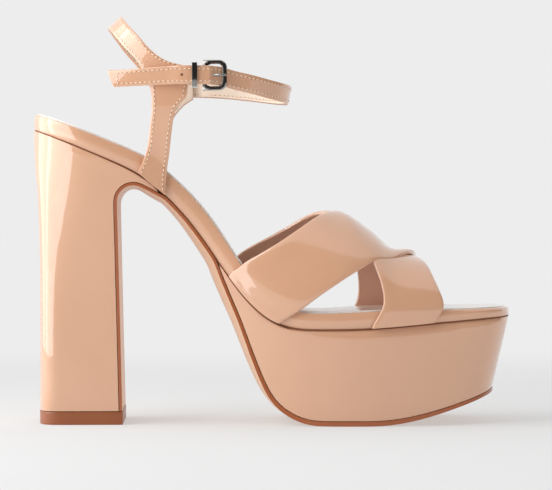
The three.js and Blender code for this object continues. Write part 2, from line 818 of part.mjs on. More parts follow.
function anklePoint(turn, z, offset) {
  const dt = 0.5;
  const dz = 0.5;
  const round = ankleForm(turn + dt, z).sub(ankleForm(turn - dt, z));
  const up = ankleForm(turn, z + dz).sub(ankleForm(turn, z - dz));
  const normal = round.cross(up).normalize();
  const at = ankleForm(turn, z);
  if (normal.dot(point(at.x - ankleCentre, at.y, 0)) < 0) normal.negate();
  return at.addScaledVector(normal, offset);
}

// Degrees round the ankle that put a point at x, at height z behind or before the centre.
function turnAt(x, z) {
  const edge = ankleForm(x < ankleCentre ? 90 : -90, z).x;
  return THREE.MathUtils.radToDeg(Math.asin((ankleCentre - x) / Math.abs(ankleCentre - edge)));
}

// Places on the outer side, where the strap runs through the buckle.
const strapAtBuckle = riseZ(0.37) + strapWidth / 2; // middle of strap, tab and buckle
const pivotX = ankleCentre + 3.2; // the buckle's bar
const keeperX = ankleCentre - 1.3;
const tongueEnd = pivotX - buckleWire / 2 - 2; // the quarter's tongue inside the tab
const tongueStart = keeperX - keeperWidth / 2 - 1.6;
const tabEnd = keeperX - keeperWidth / 2 - 4.5;
const sewnEnd = ankleCentre - 2; // the quarter's end on the inner side

// Rows on smooth curves through the given ones, count steps between each two.
function denser(rows, count) {
  const curve = (edge) =>
    new THREE.CatmullRomCurve3(rows.map((row) => point(row[edge].turn, row[edge].z, 0)));
  const low = curve("low");
  const high = curve("high");
  const read = (from, t) => {
    const p = from.getPoint(t);
    return { turn: p.x, z: p.y };
  };
  return steps((rows.length - 1) * count).map((t) => ({ low: read(low, t), high: read(high, t) }));
}

function quarterRows(side) {
  const slim = side < 0 ? 0 : innerLegSlim;
  const foot = (turn, guess) => {
    const x = ankleForm(turn, riseZ(guess)).x;
    return { turn, z: seamZ(x) + gap };
  };
  const asPoints = (row) => ({
    low: { turn: row.lowTurn, z: riseZ(row.lowRise) },
    high: { turn: row.highTurn, z: riseZ(row.highRise) },
  });
  const asLeg = (row) => {
    const { low: rear, high: front } = asPoints(row);
    return { low: rear, high: { turn: front.turn + slim, z: front.z } };
  };
  const low = strapAtBuckle - tabWidth / 2;
  const high = strapAtBuckle + tabWidth / 2;
  const corner = (x, z) => ({ turn: turnAt(x, z), z });
  const outerTab = [
    { low: { turn: 17, z: riseZ(0.345) }, high: corner(tongueStart, low) },
    { low: { turn: 18, z: riseZ(0.375) }, high: corner(tongueEnd, low) },
    { low: { turn: 20.2, z: riseZ(0.435) }, high: corner(tongueEnd, high) },
    { low: { turn: 22.4, z: riseZ(0.475) }, high: corner(tongueStart, high) },
  ];
  const innerLow = riseZ(0.33);
  const innerHigh = innerLow + strapWidth + 1;
  const innerTab = [
    { low: { turn: 17.1, z: riseZ(0.35) }, high: corner(tongueStart + 0.6, riseZ(0.303)) },
    { low: { turn: 18, z: riseZ(0.375) }, high: corner(sewnEnd, innerLow - 0.6) },
    { low: { turn: 20.2, z: riseZ(0.435) }, high: corner(sewnEnd, innerHigh) },
    { low: { turn: 22.4, z: riseZ(0.475) }, high: corner(tongueStart, innerHigh + 0.2) },
  ];
  const sole = { low: foot(14, -0.44), high: foot(6.8 + slim, -0.6) };
  return [
    ...denser([sole, ...legRows.map(asLeg)], 2),
    ...(side < 0 ? outerTab : innerTab),
    ...denser(bandRows.map(asPoints), 2),
  ];
}

function quarter() {
  const loopOf = ({ low, high }, side) => {
    const turned = (turn) => (side < 0 ? turn : 180 - turn);
    const at = (t, offset) =>
      anklePoint(turned(mix(low.turn, high.turn, t)), mix(low.z, high.z, t), offset);
    const across = steps(4);
    return [
      ...across.map((t) => at(t, 0)),
      ...across.map((t) => at(t, quarterWall)).reverse(),
    ];
  };
  const outer = quarterRows(-1).map((row) => loopOf(row, -1));
  const inner = quarterRows(1).map((row) => loopOf(row, 1));
  return loft([...outer, ...inner.reverse().slice(1)]);
}

// The strap lies on the form, climbs over the quarter by its wall, and its rows' layer
// counts that wall and the clearance under it.
const strapLayer = quarterWall + gap;

function ankleStrapBlank() {
  return loft(
    ankleStrapRows.map((row, i) => {
      const low = riseZ(row.rise);
      const tip = i === ankleStrapRows.length - 1;
      const slant = tip ? THREE.MathUtils.radToDeg(tipSlant / (ankleWidth / 2)) : 0;
      const at = (t, offset) =>
        anklePoint(
          row.turn + slant * t,
          low + strapWidth * row.width * t,
          row.layer * strapLayer + offset,
        );
      const across = [0, 0.5, 1];
      return [
        ...across.map((t) => at(t, 0)),
        ...across.map((t) => at(t, strapWall)).reverse(),
      ];
    }),
  );
}

// A point by the buckle: x along the strap, v up from its middle, offset out from the form.
function byBuckle(x, v, offset) {
  const z = strapAtBuckle + v;
  return anklePoint(turnAt(x, z), z, offset);
}

const barOffset = quarterWall / 2; // the bar lies level with the quarter's tongue
const farBarX = pivotX + buckleLength - buckleWire * 1.15;
const farBarOffset = 0.45 * (quarterWall + gap) + strapWall + 2.5 * gap + buckleWire / 2;

// Group whose +X runs from bar to far bar, +Y up the shoe and +Z out of it.
function buckleFrame() {
  const from = byBuckle(pivotX, 0, barOffset);
  const to = byBuckle(farBarX, 0, farBarOffset);
  const run = to.clone().sub(from).normalize();
  const up = point(0, 0, 1);
  const out = run.clone().cross(up).normalize();
  const placed = new THREE.Group();
  placed.position.copy(from);
  placed.quaternion.setFromRotationMatrix(
    new THREE.Matrix4().makeBasis(run, out.clone().cross(run), out),
  );
  return { placed, reach: to.distanceTo(from) };
}

function roundedRing(shape, left, right, half, radius) {
  shape.moveTo(left, -half);
  shape.lineTo(right - radius, -half);
  shape.absarc(right - radius, -half + radius, radius, -Math.PI / 2, 0, false);
  shape.lineTo(right, half - radius);
  shape.absarc(right - radius, half - radius, radius, 0, Math.PI / 2, false);
  shape.lineTo(left, half);
  shape.closePath();
  return shape;
}

function buckle(reach) {
  const wire = buckleWire;
  const right = reach + wire * 0.6;
  const shape = roundedRing(new THREE.Shape(), -wire / 2, right, buckleHeight / 2, 3.4);
  const opening = new THREE.Path();
  const inner = buckleHeight / 2 - wire;
  roundedRing(opening, wire / 2, right - wire * 1.15, inner, 2);
  shape.holes.push(opening);
  const bevel = 0.4;
  const geometry = new THREE.ExtrudeGeometry(shape, {
    depth: wire - 2 * bevel,
    bevelThickness: bevel,
    bevelSize: bevel,
    bevelOffset: -bevel,
    bevelSegments: 1,
    curveSegments: 5,
  });
  return geometry.translate(0, 0, bevel - wire / 2);
}

// Ring round the bar and an arm that lies on the far bar.
function prong(reach, thick) {
  const hole = buckleWire / 2 + 0.25;
  const ringRadius = hole * Math.SQRT2 + prongWire / 2;
  const ring = new THREE.TorusGeometry(ringRadius, thick / 2, 8, 20);
  ring.rotateX(Math.PI / 2);
  const lie = buckleWire / 2 + 0.15 + prongWire / 2;
  const start = point(ringRadius * 0.8, 0, ringRadius * 0.6);
  const end = point(reach + buckleWire * 0.75, 0, lie);
  const arm = new THREE.CylinderGeometry(thick / 2, thick / 2, start.distanceTo(end), 10);
  arm.rotateZ(-Math.PI / 2);
  arm.rotateY(-Math.atan2(end.z - start.z, end.x - start.x));
  const middle = start.clone().lerp(end, 0.5);
  arm.translate(middle.x, middle.y, middle.z);
  return solidOf(ring).add(solidOf(arm));
}

// Folded leather round the bar, with the quarter's tongue between its two layers.
function buckleTab() {
  const turn = quarterWall / 2 + gap + tabWall / 2;
  const rows = [
    { x: tabEnd, offset: barOffset - turn, lean: 0 },
    { x: (tabEnd + pivotX) / 2, offset: barOffset - turn, lean: 0 },
  ];
  for (const t of steps(8)) {
    const angle = Math.PI * (t - 0.5);
    rows.push({
      x: pivotX + turn * Math.cos(angle),
      offset: barOffset + turn * Math.sin(angle),
      lean: angle,
      fold: true,
    });
  }
  rows.push({ x: (tabEnd + pivotX) / 2, offset: barOffset + turn, lean: Math.PI / 2 });
  rows.push({ x: tabEnd, offset: barOffset + turn, lean: Math.PI / 2 });
  return loft(
    rows.map(({ x, offset, lean, fold }, i) => {
      const outward = fold
        ? { x: Math.cos(lean), w: Math.sin(lean) }
        : { x: 0, w: i < 2 ? -1 : 1 };
      const at = (v, s) =>
        byBuckle(x + (outward.x * s * tabWall) / 2, v, offset + (outward.w * s * tabWall) / 2);
      const half = tabWidth / 2;
      return [at(-half, -1), at(half, -1), at(half, 1), at(-half, 1)];
    }),
  );
}

function keeper() {
  const inner = -tabWall - 2 * gap;
  const outer = barOffset + quarterWall / 2 + 2 * gap + tabWall + strapWall + gap;
  const half = strapWidth / 2 + gap;
  const ring = [
    [inner - keeperWall, -half - keeperWall],
    [outer + keeperWall, -half - keeperWall],
    [outer + keeperWall, half + keeperWall],
    [inner - keeperWall, half + keeperWall],
  ];
  const opening = [
    [inner, -half],
    [outer, -half],
    [outer, half],
    [inner, half],
  ];
  const toShape = (Kind, corners) =>
    new Kind(corners.map(([w, v]) => new THREE.Vector2(w, v)));
  const shape = toShape(THREE.Shape, ring);
  shape.holes.push(toShape(THREE.Path, opening));
  const geometry = new THREE.ExtrudeGeometry(shape, { depth: keeperWidth, bevelEnabled: false });
  geometry.translate(0, 0, -keeperWidth / 2);
  return geometry;
}

const materials = {
  patent: { color: 0xe0b394, roughness: 0.12, metalness: 0 },
  lining: { color: 0xead2bd, roughness: 0.55, metalness: 0 },
  sole: { color: 0xa0623f, roughness: 0.35, metalness: 0 },
  metal: { color: 0xb9b7b3, roughness: 0.12, metalness: 1 },
};

const shoe = new THREE.Group();

function addPiece(name, geometry, look, parent = shoe) {
  geometry.computeVertexNormals();
  const mesh = new THREE.Mesh(geometry, new THREE.MeshStandardMaterial(materials[look]));
  mesh.name = name;
  parent.add(mesh);
  return mesh;
}

addPiece("outsole", outsole(), "sole");
addPiece("platform", platform(), "patent");
addPiece("heel", heel(), "patent");
addPiece("heel_tip", heelTip(), "sole");
addPiece("footbed", footbed(), "patent");
addPiece("sock", sock(), "lining");
addPiece("vamp_straps", vampStraps(), "patent");
addPiece("quarter", quarter(), "patent");

const { placed, reach } = buckleFrame();
shoe.add(placed);
placed.updateMatrixWorld(true);
addPiece("buckle", buckle(reach), "metal", placed);
addPiece("prong", geometryOf(prong(reach, prongWire)), "metal", placed);
const prongCut = geometryOf(prong(reach, prongWire + 2 * gap)).applyMatrix4(placed.matrixWorld);
const cutter = solidOf(prongCut);
addPiece("buckle_tab", geometryOf(solidOf(buckleTab()).subtract(cutter)), "patent");
addPiece("ankle_strap", geometryOf(solidOf(ankleStrapBlank()).subtract(cutter)), "patent");

const keeperMesh = addPiece("keeper", keeper(), "metal");
const keeperRun = byBuckle(keeperX + 1, 0, 0).sub(byBuckle(keeperX - 1, 0, 0)).normalize();
const keeperUp = point(0, 0, 1).addScaledVector(keeperRun, -keeperRun.z).normalize();
keeperMesh.position.copy(byBuckle(keeperX, 0, 0));
keeperMesh.quaternion.setFromRotationMatrix(
  new THREE.Matrix4().makeBasis(
    keeperRun.clone().cross(keeperUp),
    keeperUp,
    keeperRun.clone().negate(),
  ),
);

export default shoe;
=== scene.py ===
"""Looks for the platform sandal: finished leather, linings, stitching, sole and metal
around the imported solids. Sizes are in millimetres until MM turns them into metres."""
import math

import bpy
from mathutils import Matrix, Vector


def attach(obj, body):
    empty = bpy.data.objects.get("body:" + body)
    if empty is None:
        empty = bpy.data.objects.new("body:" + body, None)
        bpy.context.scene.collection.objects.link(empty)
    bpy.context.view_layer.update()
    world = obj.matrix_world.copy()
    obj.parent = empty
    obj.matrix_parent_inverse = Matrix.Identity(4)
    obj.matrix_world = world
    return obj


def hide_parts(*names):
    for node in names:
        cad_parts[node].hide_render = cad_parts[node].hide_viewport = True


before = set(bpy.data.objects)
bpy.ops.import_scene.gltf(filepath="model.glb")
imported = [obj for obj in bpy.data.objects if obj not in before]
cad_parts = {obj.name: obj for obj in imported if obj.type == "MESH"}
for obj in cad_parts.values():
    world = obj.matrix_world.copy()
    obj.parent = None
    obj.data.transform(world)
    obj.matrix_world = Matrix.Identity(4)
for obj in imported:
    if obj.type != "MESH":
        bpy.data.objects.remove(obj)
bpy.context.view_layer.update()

MM = 0.001

# ---------------------------------------------------------------- sizes of the shoe
SHOE_LENGTH = 215.6
SEAT_HEIGHT = 131.7
PLATFORM_HEIGHT = 42.3
BALL_WIDTH = 77.0
GAP = 0.3
HEEL_TIP_LENGTH = 38.0
HEEL_OVERHANG = 3.0
FOOTBED_THICKNESS = 8.6
VAMP_HEIGHT = 49.0
VAMP_WALL = 2.0
VAMP_CLEARANCE = 0.4
VAMP_SKIVE = 0.55
SKIVE_GIRTH = 0.07
VAMP_FULLNESS = 2.4
CROSSING_BLEND = 8.0
CROSSING_STEP = 0.5
CROSSING_SINK = 1.0
LIP_RISE = 2.0
LIP_FROM_GIRTH = 0.28
LIP_GIRTH = 0.36
LIP_FROM_WIDTH = 0.7
FORE_LEG_SHIFT = 6.0
REAR_LEG_SHIFT = 1.5
REAR_EDGE_BOW = 3.0
ANKLE_RISE = 50.7
ANKLE_WIDTH = 60.0
ANKLE_FRONT = 113.8
ANKLE_BACK = 34.6
BACK_LEAN = 1.085
FRONT_LEAN = 0.2
QUARTER_WALL = 1.8
INNER_LEG_SLIM = 1.2
STRAP_WIDTH = 8.2
STRAP_WALL = 1.6
TAB_WIDTH = 7.6
BUCKLE_WIRE = 1.8
KEEPER_WIDTH = 2.3
TIP_SLANT = 3.8
STITCH_PITCH = 2.05
STITCH_LENGTH = 1.45
STITCH_RADIUS = 0.27
STITCH_MARGIN = 1.5

HEEL_BACK = -(HEEL_TIP_LENGTH / 2 + HEEL_OVERHANG)
TOE_TIP = HEEL_BACK + SHOE_LENGTH

# share of the shoe's length, rise of the seam
SEAM_ROWS = (
    (0, 1), (0.084, 0.918), (0.165, 0.837), (0.225, 0.765), (0.278, 0.663),
    (0.329, 0.53), (0.37, 0.395), (0.41, 0.253), (0.45, 0.135), (0.491, 0.052),
    (0.535, 0.01), (0.593, 0), (0.695, 0.005), (0.827, 0.031), (1, 0.065),
)
# share of the shoe's length, outer and inner half-width, thickness of the footbed
PLAN_ROWS = (
    (0, 0.345, 0.345, 0.85), (0.06, 0.352, 0.352, 0.92), (0.125, 0.357, 0.355, 0.95),
    (0.22, 0.345, 0.332, 0.98), (0.32, 0.322, 0.295, 1), (0.4, 0.345, 0.3, 1),
    (0.47, 0.402, 0.35, 0.97), (0.54, 0.456, 0.417, 0.93), (0.62, 0.489, 0.475, 0.9),
    (0.7, 0.496, 0.502, 0.95), (0.78, 0.478, 0.505, 0.84), (0.86, 0.44, 0.487, 0.68),
    (0.93, 0.397, 0.456, 0.58), (1, 0.345, 0.417, 0.5),
)
HEEL_ROUND = (24.0, 2.15)
TOE_ROUND = (20.0, 2.5)
# share of the shoe's length, crest of the crossed straps
CREST_ROWS = (
    (0.38, 1.24), (0.473, 1.21), (0.542, 1.155), (0.589, 1.105), (0.622, 1.055),
    (0.654, 1.0), (0.687, 0.895), (0.71, 0.81), (0.73, 0.72), (0.751, 0.655),
    (0.775, 0.615), (0.8, 0.58), (0.83, 0.535), (0.87, 0.47),
)
# girth, rear edge, front edge of the strap that starts at the outer heel side
STRAP_ROWS = (
    (0, 0.407, 0.512), (0.03, 0.425, 0.553), (0.067, 0.444, 0.594), (0.108, 0.466, 0.634),
    (0.155, 0.492, 0.669), (0.228, 0.533, 0.705), (0.3, 0.57, 0.737), (0.4, 0.608, 0.774),
    (0.5, 0.636, 0.8), (0.6, 0.656, 0.814), (0.7, 0.68, 0.823), (0.78, 0.701, 0.83),
    (0.865, 0.717, 0.841), (0.918, 0.721, 0.846), (0.952, 0.717, 0.844), (1, 0.697, 0.829),
)
# rear edge's turn and rise, front edge's turn and rise, up the quarter's leg
LEG_ROWS = (
    (13.8, -0.371, 7.1, -0.501), (13.3, -0.266, 7.2, -0.351), (13.2, -0.154, 7.1, -0.221),
    (13.7, -0.024, 7.2, -0.073), (14.3, 0.108, 7.2, 0.065), (15, 0.195, 6.8, 0.148),
    (15.8, 0.262, 5.7, 0.201), (16.7, 0.312, 3.8, 0.262),
)
# the same four columns where the leg starts at the seam
LEG_FOOT = (14, -0.44, 6.8, -0.6)
# rear edge's turn and rise beside the outer and the inner tab
OUTER_TAB_ROWS = ((17, 0.345), (18, 0.375), (20.2, 0.435), (22.4, 0.475))
INNER_TAB_ROWS = ((17.1, 0.35), (18, 0.375), (20.2, 0.435), (22.4, 0.475))
# the leg's four columns again, from the tab round to the back
BAND_ROWS = (
    (23.5, 0.505, 8.2, 0.547), (26.5, 0.556, 13.6, 0.576), (30, 0.604, 19, 0.625),
    (37.5, 0.679, 26, 0.702), (48.8, 0.765, 36, 0.803), (60, 0.825, 51.2, 0.899),
    (74, 0.868, 70, 0.973), (90, 0.884, 90, 1),
)
# turn, rise of the lower edge, layer and width of the ankle strap
ANKLE_STRAP_ROWS = (
    (-189, 0.345, 1, 1), (-180.4, 0.34, 1, 1), (-175.5, 0.336, 0.3, 1), (-171, 0.333, 0, 1),
    (-160, 0.322, 0, 1), (-147, 0.302, 0, 1), (-131, 0.276, 0, 1), (-117, 0.256, 0, 1),
    (-104, 0.245, 0, 1), (-90, 0.24, 0, 1), (-76, 0.242, 0, 1), (-63, 0.25, 0, 1),
    (-49, 0.268, 0, 1), (-33, 0.304, 0, 1), (-24, 0.326, 0, 1), (-17, 0.349, 0.25, 1),
    (-12.6, 0.363, 0.45, 1), (-9.6, 0.366, 0.75, 1), (-7, 0.368, 1.5, 1), (-5, 0.369, 1.55, 1),
    (0, 0.37, 1.55, 1), (6, 0.369, 1.55, 1), (12, 0.364, 1.15, 1), (20, 0.355, 1, 0.97),
    (27, 0.344, 1.1, 0.93), (31, 0.338, 1.2, 0.87),
)


# ---------------------------------------------------------------- the shoe's form
def clamp(t):
    return min(1.0, max(0.0, t))


def ease(t):
    t = clamp(t)
    return t * t * (3 - 2 * t)


def mix(a, b, t):
    return a + (b - a) * t


def spline(rows, column):
    """A natural cubic spline through a table's first column and another one."""
    x = [row[0] for row in rows]
    y = [row[column] for row in rows]
    last = len(x) - 1
    bend = [0.0] * (last + 1)
    upper = [0.0] * (last + 1)
    for i in range(1, last):
        before, after = x[i] - x[i - 1], x[i + 1] - x[i]
        pull = (y[i + 1] - y[i]) / after - (y[i] - y[i - 1]) / before
        pivot = 2 * (before + after) - before * upper[i - 1]
        upper[i] = after / pivot
        bend[i] = (6 * pull - before * bend[i - 1]) / pivot
    for i in range(last - 1, 0, -1):
        bend[i] -= upper[i] * bend[i + 1]

    def read(at):
        i = 1
        while i < last and at > x[i]:
            i += 1
        h = x[i] - x[i - 1]
        a = (x[i] - at) / h
        b = 1 - a
        curve = (a ** 3 - a) * bend[i - 1] + (b ** 3 - b) * bend[i]
        return a * y[i - 1] + b * y[i] + curve * h * h / 6

    return read


seam_share = spline(SEAM_ROWS, 1)
outer_share = spline(PLAN_ROWS, 1)
inner_share = spline(PLAN_ROWS, 2)
thick_share = spline(PLAN_ROWS, 3)
crest_share = spline(CREST_ROWS, 1)
rear_edge = spline(STRAP_ROWS, 1)
front_edge = spline(STRAP_ROWS, 2)


def share_of(x):
    """The share of the shoe's length at x, from the heel's back."""
    return (x - HEEL_BACK) / SHOE_LENGTH


def along(share):
    return HEEL_BACK + share * SHOE_LENGTH


def seam_z(x):
    """The height of the seam under the footbed."""
    return mix(PLATFORM_HEIGHT, SEAT_HEIGHT, seam_share(share_of(x)))


def seam_slope(x):
    return seam_z(x + 0.5) - seam_z(x - 0.5)


def end_round(distance, shape):
    """The share of the width that is left near a rounded end."""
    length, power = shape
    left = clamp(1 - distance / length)
    return (1 - left ** power) ** (1 / power)


def half_width(x, side):
    """The footbed's half-width on the outer side, -1, or the inner one, 1."""
    share = outer_share(share_of(x)) if side < 0 else inner_share(share_of(x))
    width = BALL_WIDTH * share * end_round(x - HEEL_BACK, HEEL_ROUND)
    return width * end_round(TOE_TIP - x, TOE_ROUND)


def footbed_top(x):
    thickness = FOOTBED_THICKNESS * thick_share(share_of(x))
    return seam_z(x) + thickness * math.hypot(1, seam_slope(x))


def vamp_form(x, girth):
    """The foot's form under the straps: girth is 0 at the outer seam and 1 at the inner."""
    angle = math.pi * girth
    c, s = math.cos(angle), max(0.0, math.sin(angle))
    side = -1 if c > 0 else 1
    power = 2 / VAMP_FULLNESS
    return Vector((
        x,
        side * abs(c) ** power * (half_width(x, side) + VAMP_CLEARANCE),
        seam_z(x) + GAP + VAMP_HEIGHT * crest_share(share_of(x)) * s ** power,
    ))


def vamp_point(x, girth, offset):
    """A point outside the foot's form by the offset."""
    low, high = max(0.0, girth - 0.004), min(1.0, girth + 0.004)
    along_x = vamp_form(x + 0.5, girth) - vamp_form(x - 0.5, girth)
    along_g = vamp_form(x, high) - vamp_form(x, low)
    normal = along_g.cross(along_x).normalized()
    if normal.dot(Vector((0, girth - 0.5, 0.3 * math.sin(math.pi * girth)))) < 0:
        normal.negate()
    return vamp_form(x, girth) + normal * offset


def strap_edges(girth, mirrored):
    """Where the strap's rear and front edge lie along the shoe at this girth."""
    at = 1 - girth if mirrored else girth
    shift = (REAR_LEG_SHIFT if mirrored else FORE_LEG_SHIFT) * ease((girth - 0.5) / 0.5)
    bow = REAR_EDGE_BOW * math.sin(math.pi * clamp((girth - 0.46) / 0.54)) if mirrored else 0
    return along(rear_edge(at)) - shift - bow, along(front_edge(at)) - shift


def rise_z(rise):
    """A height over the seat, as a share of the ankle's rise."""
    return SEAT_HEIGHT + rise * ANKLE_RISE


ANKLE_CENTRE = (HEEL_BACK + ANKLE_BACK + HEEL_BACK + ANKLE_FRONT) / 2


def ankle_form(turn, z):
    """The ankle's form: turn is 0 at the outer side, 90 at the back and -90 at the front."""
    angle = math.radians(turn)
    back = HEEL_BACK + ANKLE_BACK + (z - rise_z(0.884)) * BACK_LEAN
    front = HEEL_BACK + ANKLE_FRONT + (z - rise_z(0.23)) * FRONT_LEAN
    s, c = math.sin(angle), math.cos(angle)
    reach = ANKLE_CENTRE - back if s > 0 else front - ANKLE_CENTRE
    x = ANKLE_CENTRE - reach * s
    side = -1 if c > 0 else 1
    y = side * (ANKLE_WIDTH / 2) * abs(c)
    if abs(c) > 0.9 and s > 0:
        rim = side * (half_width(x, side) + GAP)
        y = mix(rim, y, ease((z - footbed_top(x)) / (rise_z(0.25) - footbed_top(x))))
    return Vector((x, y, z))


def ankle_point(turn, z, offset):
    """A point outside the ankle's form by the offset."""
    around = ankle_form(turn + 0.5, z) - ankle_form(turn - 0.5, z)
    up = ankle_form(turn, z + 0.5) - ankle_form(turn, z - 0.5)
    normal = around.cross(up).normalized()
    at = ankle_form(turn, z)
    if normal.dot(Vector((at.x - ANKLE_CENTRE, at.y, 0))) < 0:
        normal.negate()
    return at + normal * offset


def turn_at(x, z):
    """The turn round the ankle at which its form crosses x."""
    edge = ankle_form(90 if x < ANKLE_CENTRE else -90, z).x
    return math.degrees(math.asin((ANKLE_CENTRE - x) / abs(ANKLE_CENTRE - edge)))


# ---------------------------------------------------------------- shaping tools
SHEET_CORNER = 50


def deselect():
    if bpy.context.object and bpy.context.object.mode != "OBJECT":
        bpy.ops.object.mode_set(mode="OBJECT")
    bpy.ops.object.select_all(action="DESELECT")


def take(obj):
    """Selects one object alone and makes it the active one."""
    deselect()
    obj.select_set(True)
    bpy.context.view_layer.objects.active = obj


def apply_modifier(obj, kind, **settings):
    take(obj)
    modifier = obj.modifiers.new(kind.title(), kind)
    for key, value in settings.items():
        setattr(modifier, key, value)
    bpy.ops.object.modifier_apply(modifier=modifier.name)


def smooth_shade(obj, angle):
    take(obj)
    bpy.ops.object.shade_smooth_by_angle(angle=math.radians(angle))


def formed_grid(name, across, lengthwise, place):
    """A grid of leather whose point at (u, v) is laid at place(u, v), its face outwards."""
    deselect()
    bpy.ops.mesh.primitive_grid_add(x_subdivisions=across, y_subdivisions=lengthwise, size=1)
    obj = bpy.context.object
    obj.name = obj.data.name = name
    for vertex in obj.data.vertices:
        vertex.co = place(vertex.co.x + 0.5, vertex.co.y + 0.5) * MM
    return obj


def round_edges(obj, width, segments):
    """Rounds a sheet's edges and shades the rest smooth."""
    apply_modifier(obj, "BEVEL", width=width * MM, segments=segments, limit_method="ANGLE",
                   angle_limit=math.radians(SHEET_CORNER))
    smooth_shade(obj, SHEET_CORNER)


def face_outwards(obj, centre):
    """Turns an open sheet over if most of it looks towards the centre."""
    total = sum(p.area * p.normal.dot(p.center - centre(p.center)) for p in obj.data.polygons)
    if total < 0:
        take(obj)
        bpy.ops.object.mode_set(mode="EDIT")
        bpy.ops.mesh.select_all(action="SELECT")
        bpy.ops.mesh.flip_normals()
        bpy.ops.object.mode_set(mode="OBJECT")


def finish_piece(obj, slot, *replaced):
    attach(obj, "root")
    if replaced:
        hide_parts(*replaced)
    return obj


def give(obj, *materials):
    obj.data.materials.clear()
    for material in materials:
        obj.data.materials.append(material)


def copy_of(node, name, bevel, levels=2, corner=32):
    """The node's own mesh, merged, its skin smoothed between creased edges, which are
    then rounded. An edge counts as one if its faces turn by more than the corner angle."""
    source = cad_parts[node]
    obj = bpy.data.objects.new(name, source.data.copy())
    obj.data.name = name
    bpy.context.collection.objects.link(obj)
    obj.data.materials.clear()
    for polygon in obj.data.polygons:
        polygon.material_index = 0
    take(obj)
    bpy.ops.object.mode_set(mode="EDIT")
    bpy.ops.mesh.select_all(action="SELECT")
    bpy.ops.mesh.remove_doubles(threshold=0.000004)
    bpy.ops.mesh.customdata_custom_splitnormals_clear()
    bpy.ops.mesh.tris_convert_to_quads(
        face_threshold=math.radians(40), shape_threshold=math.radians(60),
    )
    bpy.ops.mesh.select_mode(type="EDGE")
    bpy.ops.mesh.select_all(action="DESELECT")
    bpy.ops.mesh.edges_select_sharp(sharpness=math.radians(corner))
    bpy.ops.transform.edge_crease(value=1)
    bpy.ops.mesh.select_mode(type="VERT")
    bpy.ops.object.mode_set(mode="OBJECT")
    if levels:
        apply_modifier(obj, "SUBSURF", levels=levels, render_levels=levels)
    if bevel:
        apply_modifier(
            obj, "BEVEL", width=bevel * MM, segments=3, limit_method="ANGLE",
            angle_limit=math.radians(corner), harden_normals=False, use_clamp_overlap=True,
        )
    smooth_shade(obj, 40)
    return obj


# ---------------------------------------------------------------- finishes
def linear(code):
    """An sRGB hex colour as linear red, green, blue and alpha."""
    channels = [int(code[i:i + 2], 16) / 255 for i in (1, 3, 5)]
    return [c / 12.92 if c <= 0.04045 else ((c + 0.055) / 1.055) ** 2.4 for c in channels] + [1.0]


def add(tree, kind, settings=None, links=()):
    """A node with its settings and the links into it: (input, node, output)."""
    node = tree.nodes.new(kind)
    for key, value in (settings or {}).items():
        if isinstance(key, str) and hasattr(node, key):
            setattr(node, key, value)
        else:
            node.inputs[key].default_value = value
    for target, source, output in links:
        tree.links.new(source.outputs[output], node.inputs[target])
    return node


def new_material(name):
    material = bpy.data.materials.new(name)
    material.use_nodes = True
    material.node_tree.nodes.clear()
    return material, material.node_tree


def shader(tree, settings, links=()):
    surface = add(tree, "ShaderNodeBsdfPrincipled", settings, links)
    add(tree, "ShaderNodeOutputMaterial", None, [("Surface", surface, "BSDF")])
    return surface


def two_tones(tree, pattern, tone, deep):
    """Two close tones, mixed by the pattern."""
    colour = add(tree, "ShaderNodeMix", {"data_type": "RGBA"}, [("Factor", pattern, "Fac")])
    colour.inputs[6].default_value = linear(tone)
    colour.inputs[7].default_value = linear(deep)
    return colour


def patent_leather(name, tone, deep):
    """Patent leather: calf coated with clear polyurethane. The coat is mirror smooth over
    long shallow waves in the hide, so reflections wander; faint clouding shows beneath."""
    material, tree = new_material(name)
    place = add(tree, "ShaderNodeTexCoord")
    clouds = add(tree, "ShaderNodeTexNoise", {"Scale": 38.0, "Detail": 3.0, "Roughness": 0.5},
                 [("Vector", place, "Object")])  # patches of about 25 mm
    colour = two_tones(tree, clouds, tone, deep)
    waves = add(tree, "ShaderNodeTexNoise", {"Scale": 70.0, "Detail": 1.0, "Roughness": 0.4},
                [("Vector", place, "Object")])  # waves of about 14 mm
    pores = add(tree, "ShaderNodeTexNoise", {"Scale": 900.0, "Detail": 2.0, "Roughness": 0.5},
                [("Vector", place, "Object")])  # orange peel of about 1 mm
    broad = add(tree, "ShaderNodeBump", {"Strength": 0.35, "Distance": 0.0006},
                [("Height", waves, "Fac")])
    fine = add(tree, "ShaderNodeBump", {"Strength": 0.05, "Distance": 0.0001},
               [("Height", pores, "Fac"), ("Normal", broad, "Normal")])
    shader(tree, {
        "Roughness": 0.3, "IOR": 1.5, "Specular IOR Level": 0.4,
        "Coat Weight": 1.0, "Coat Roughness": 0.035, "Coat IOR": 1.75,
    }, [("Base Color", colour, 2), ("Normal", fine, "Normal"), ("Coat Normal", broad, "Normal")])
    return material


def lining_leather(name, tone, deep, roughness=0.45, glaze=0.1, depth=0.12):
    """Lining leather: smooth goatskin with fine pores, from a satin to a glazed finish."""
    material, tree = new_material(name)
    place = add(tree, "ShaderNodeTexCoord")
    grain = add(tree, "ShaderNodeTexVoronoi", {"Scale": 1400.0},
                [("Vector", place, "Object")])  # pores about 0.7 mm apart
    clouds = add(tree, "ShaderNodeTexNoise", {"Scale": 90.0, "Detail": 4.0, "Roughness": 0.6},
                 [("Vector", place, "Object")])  # patches of about 11 mm
    colour = two_tones(tree, clouds, tone, deep)
    bump = add(tree, "ShaderNodeBump", {"Strength": depth, "Distance": 0.0001},
               [("Height", grain, "Distance")])
    shader(tree, {
        "Roughness": roughness, "IOR": 1.5, "Coat Weight": glaze, "Coat Roughness": 0.12,
    }, [("Base Color", colour, 2), ("Normal", bump, "Normal")])
    return material


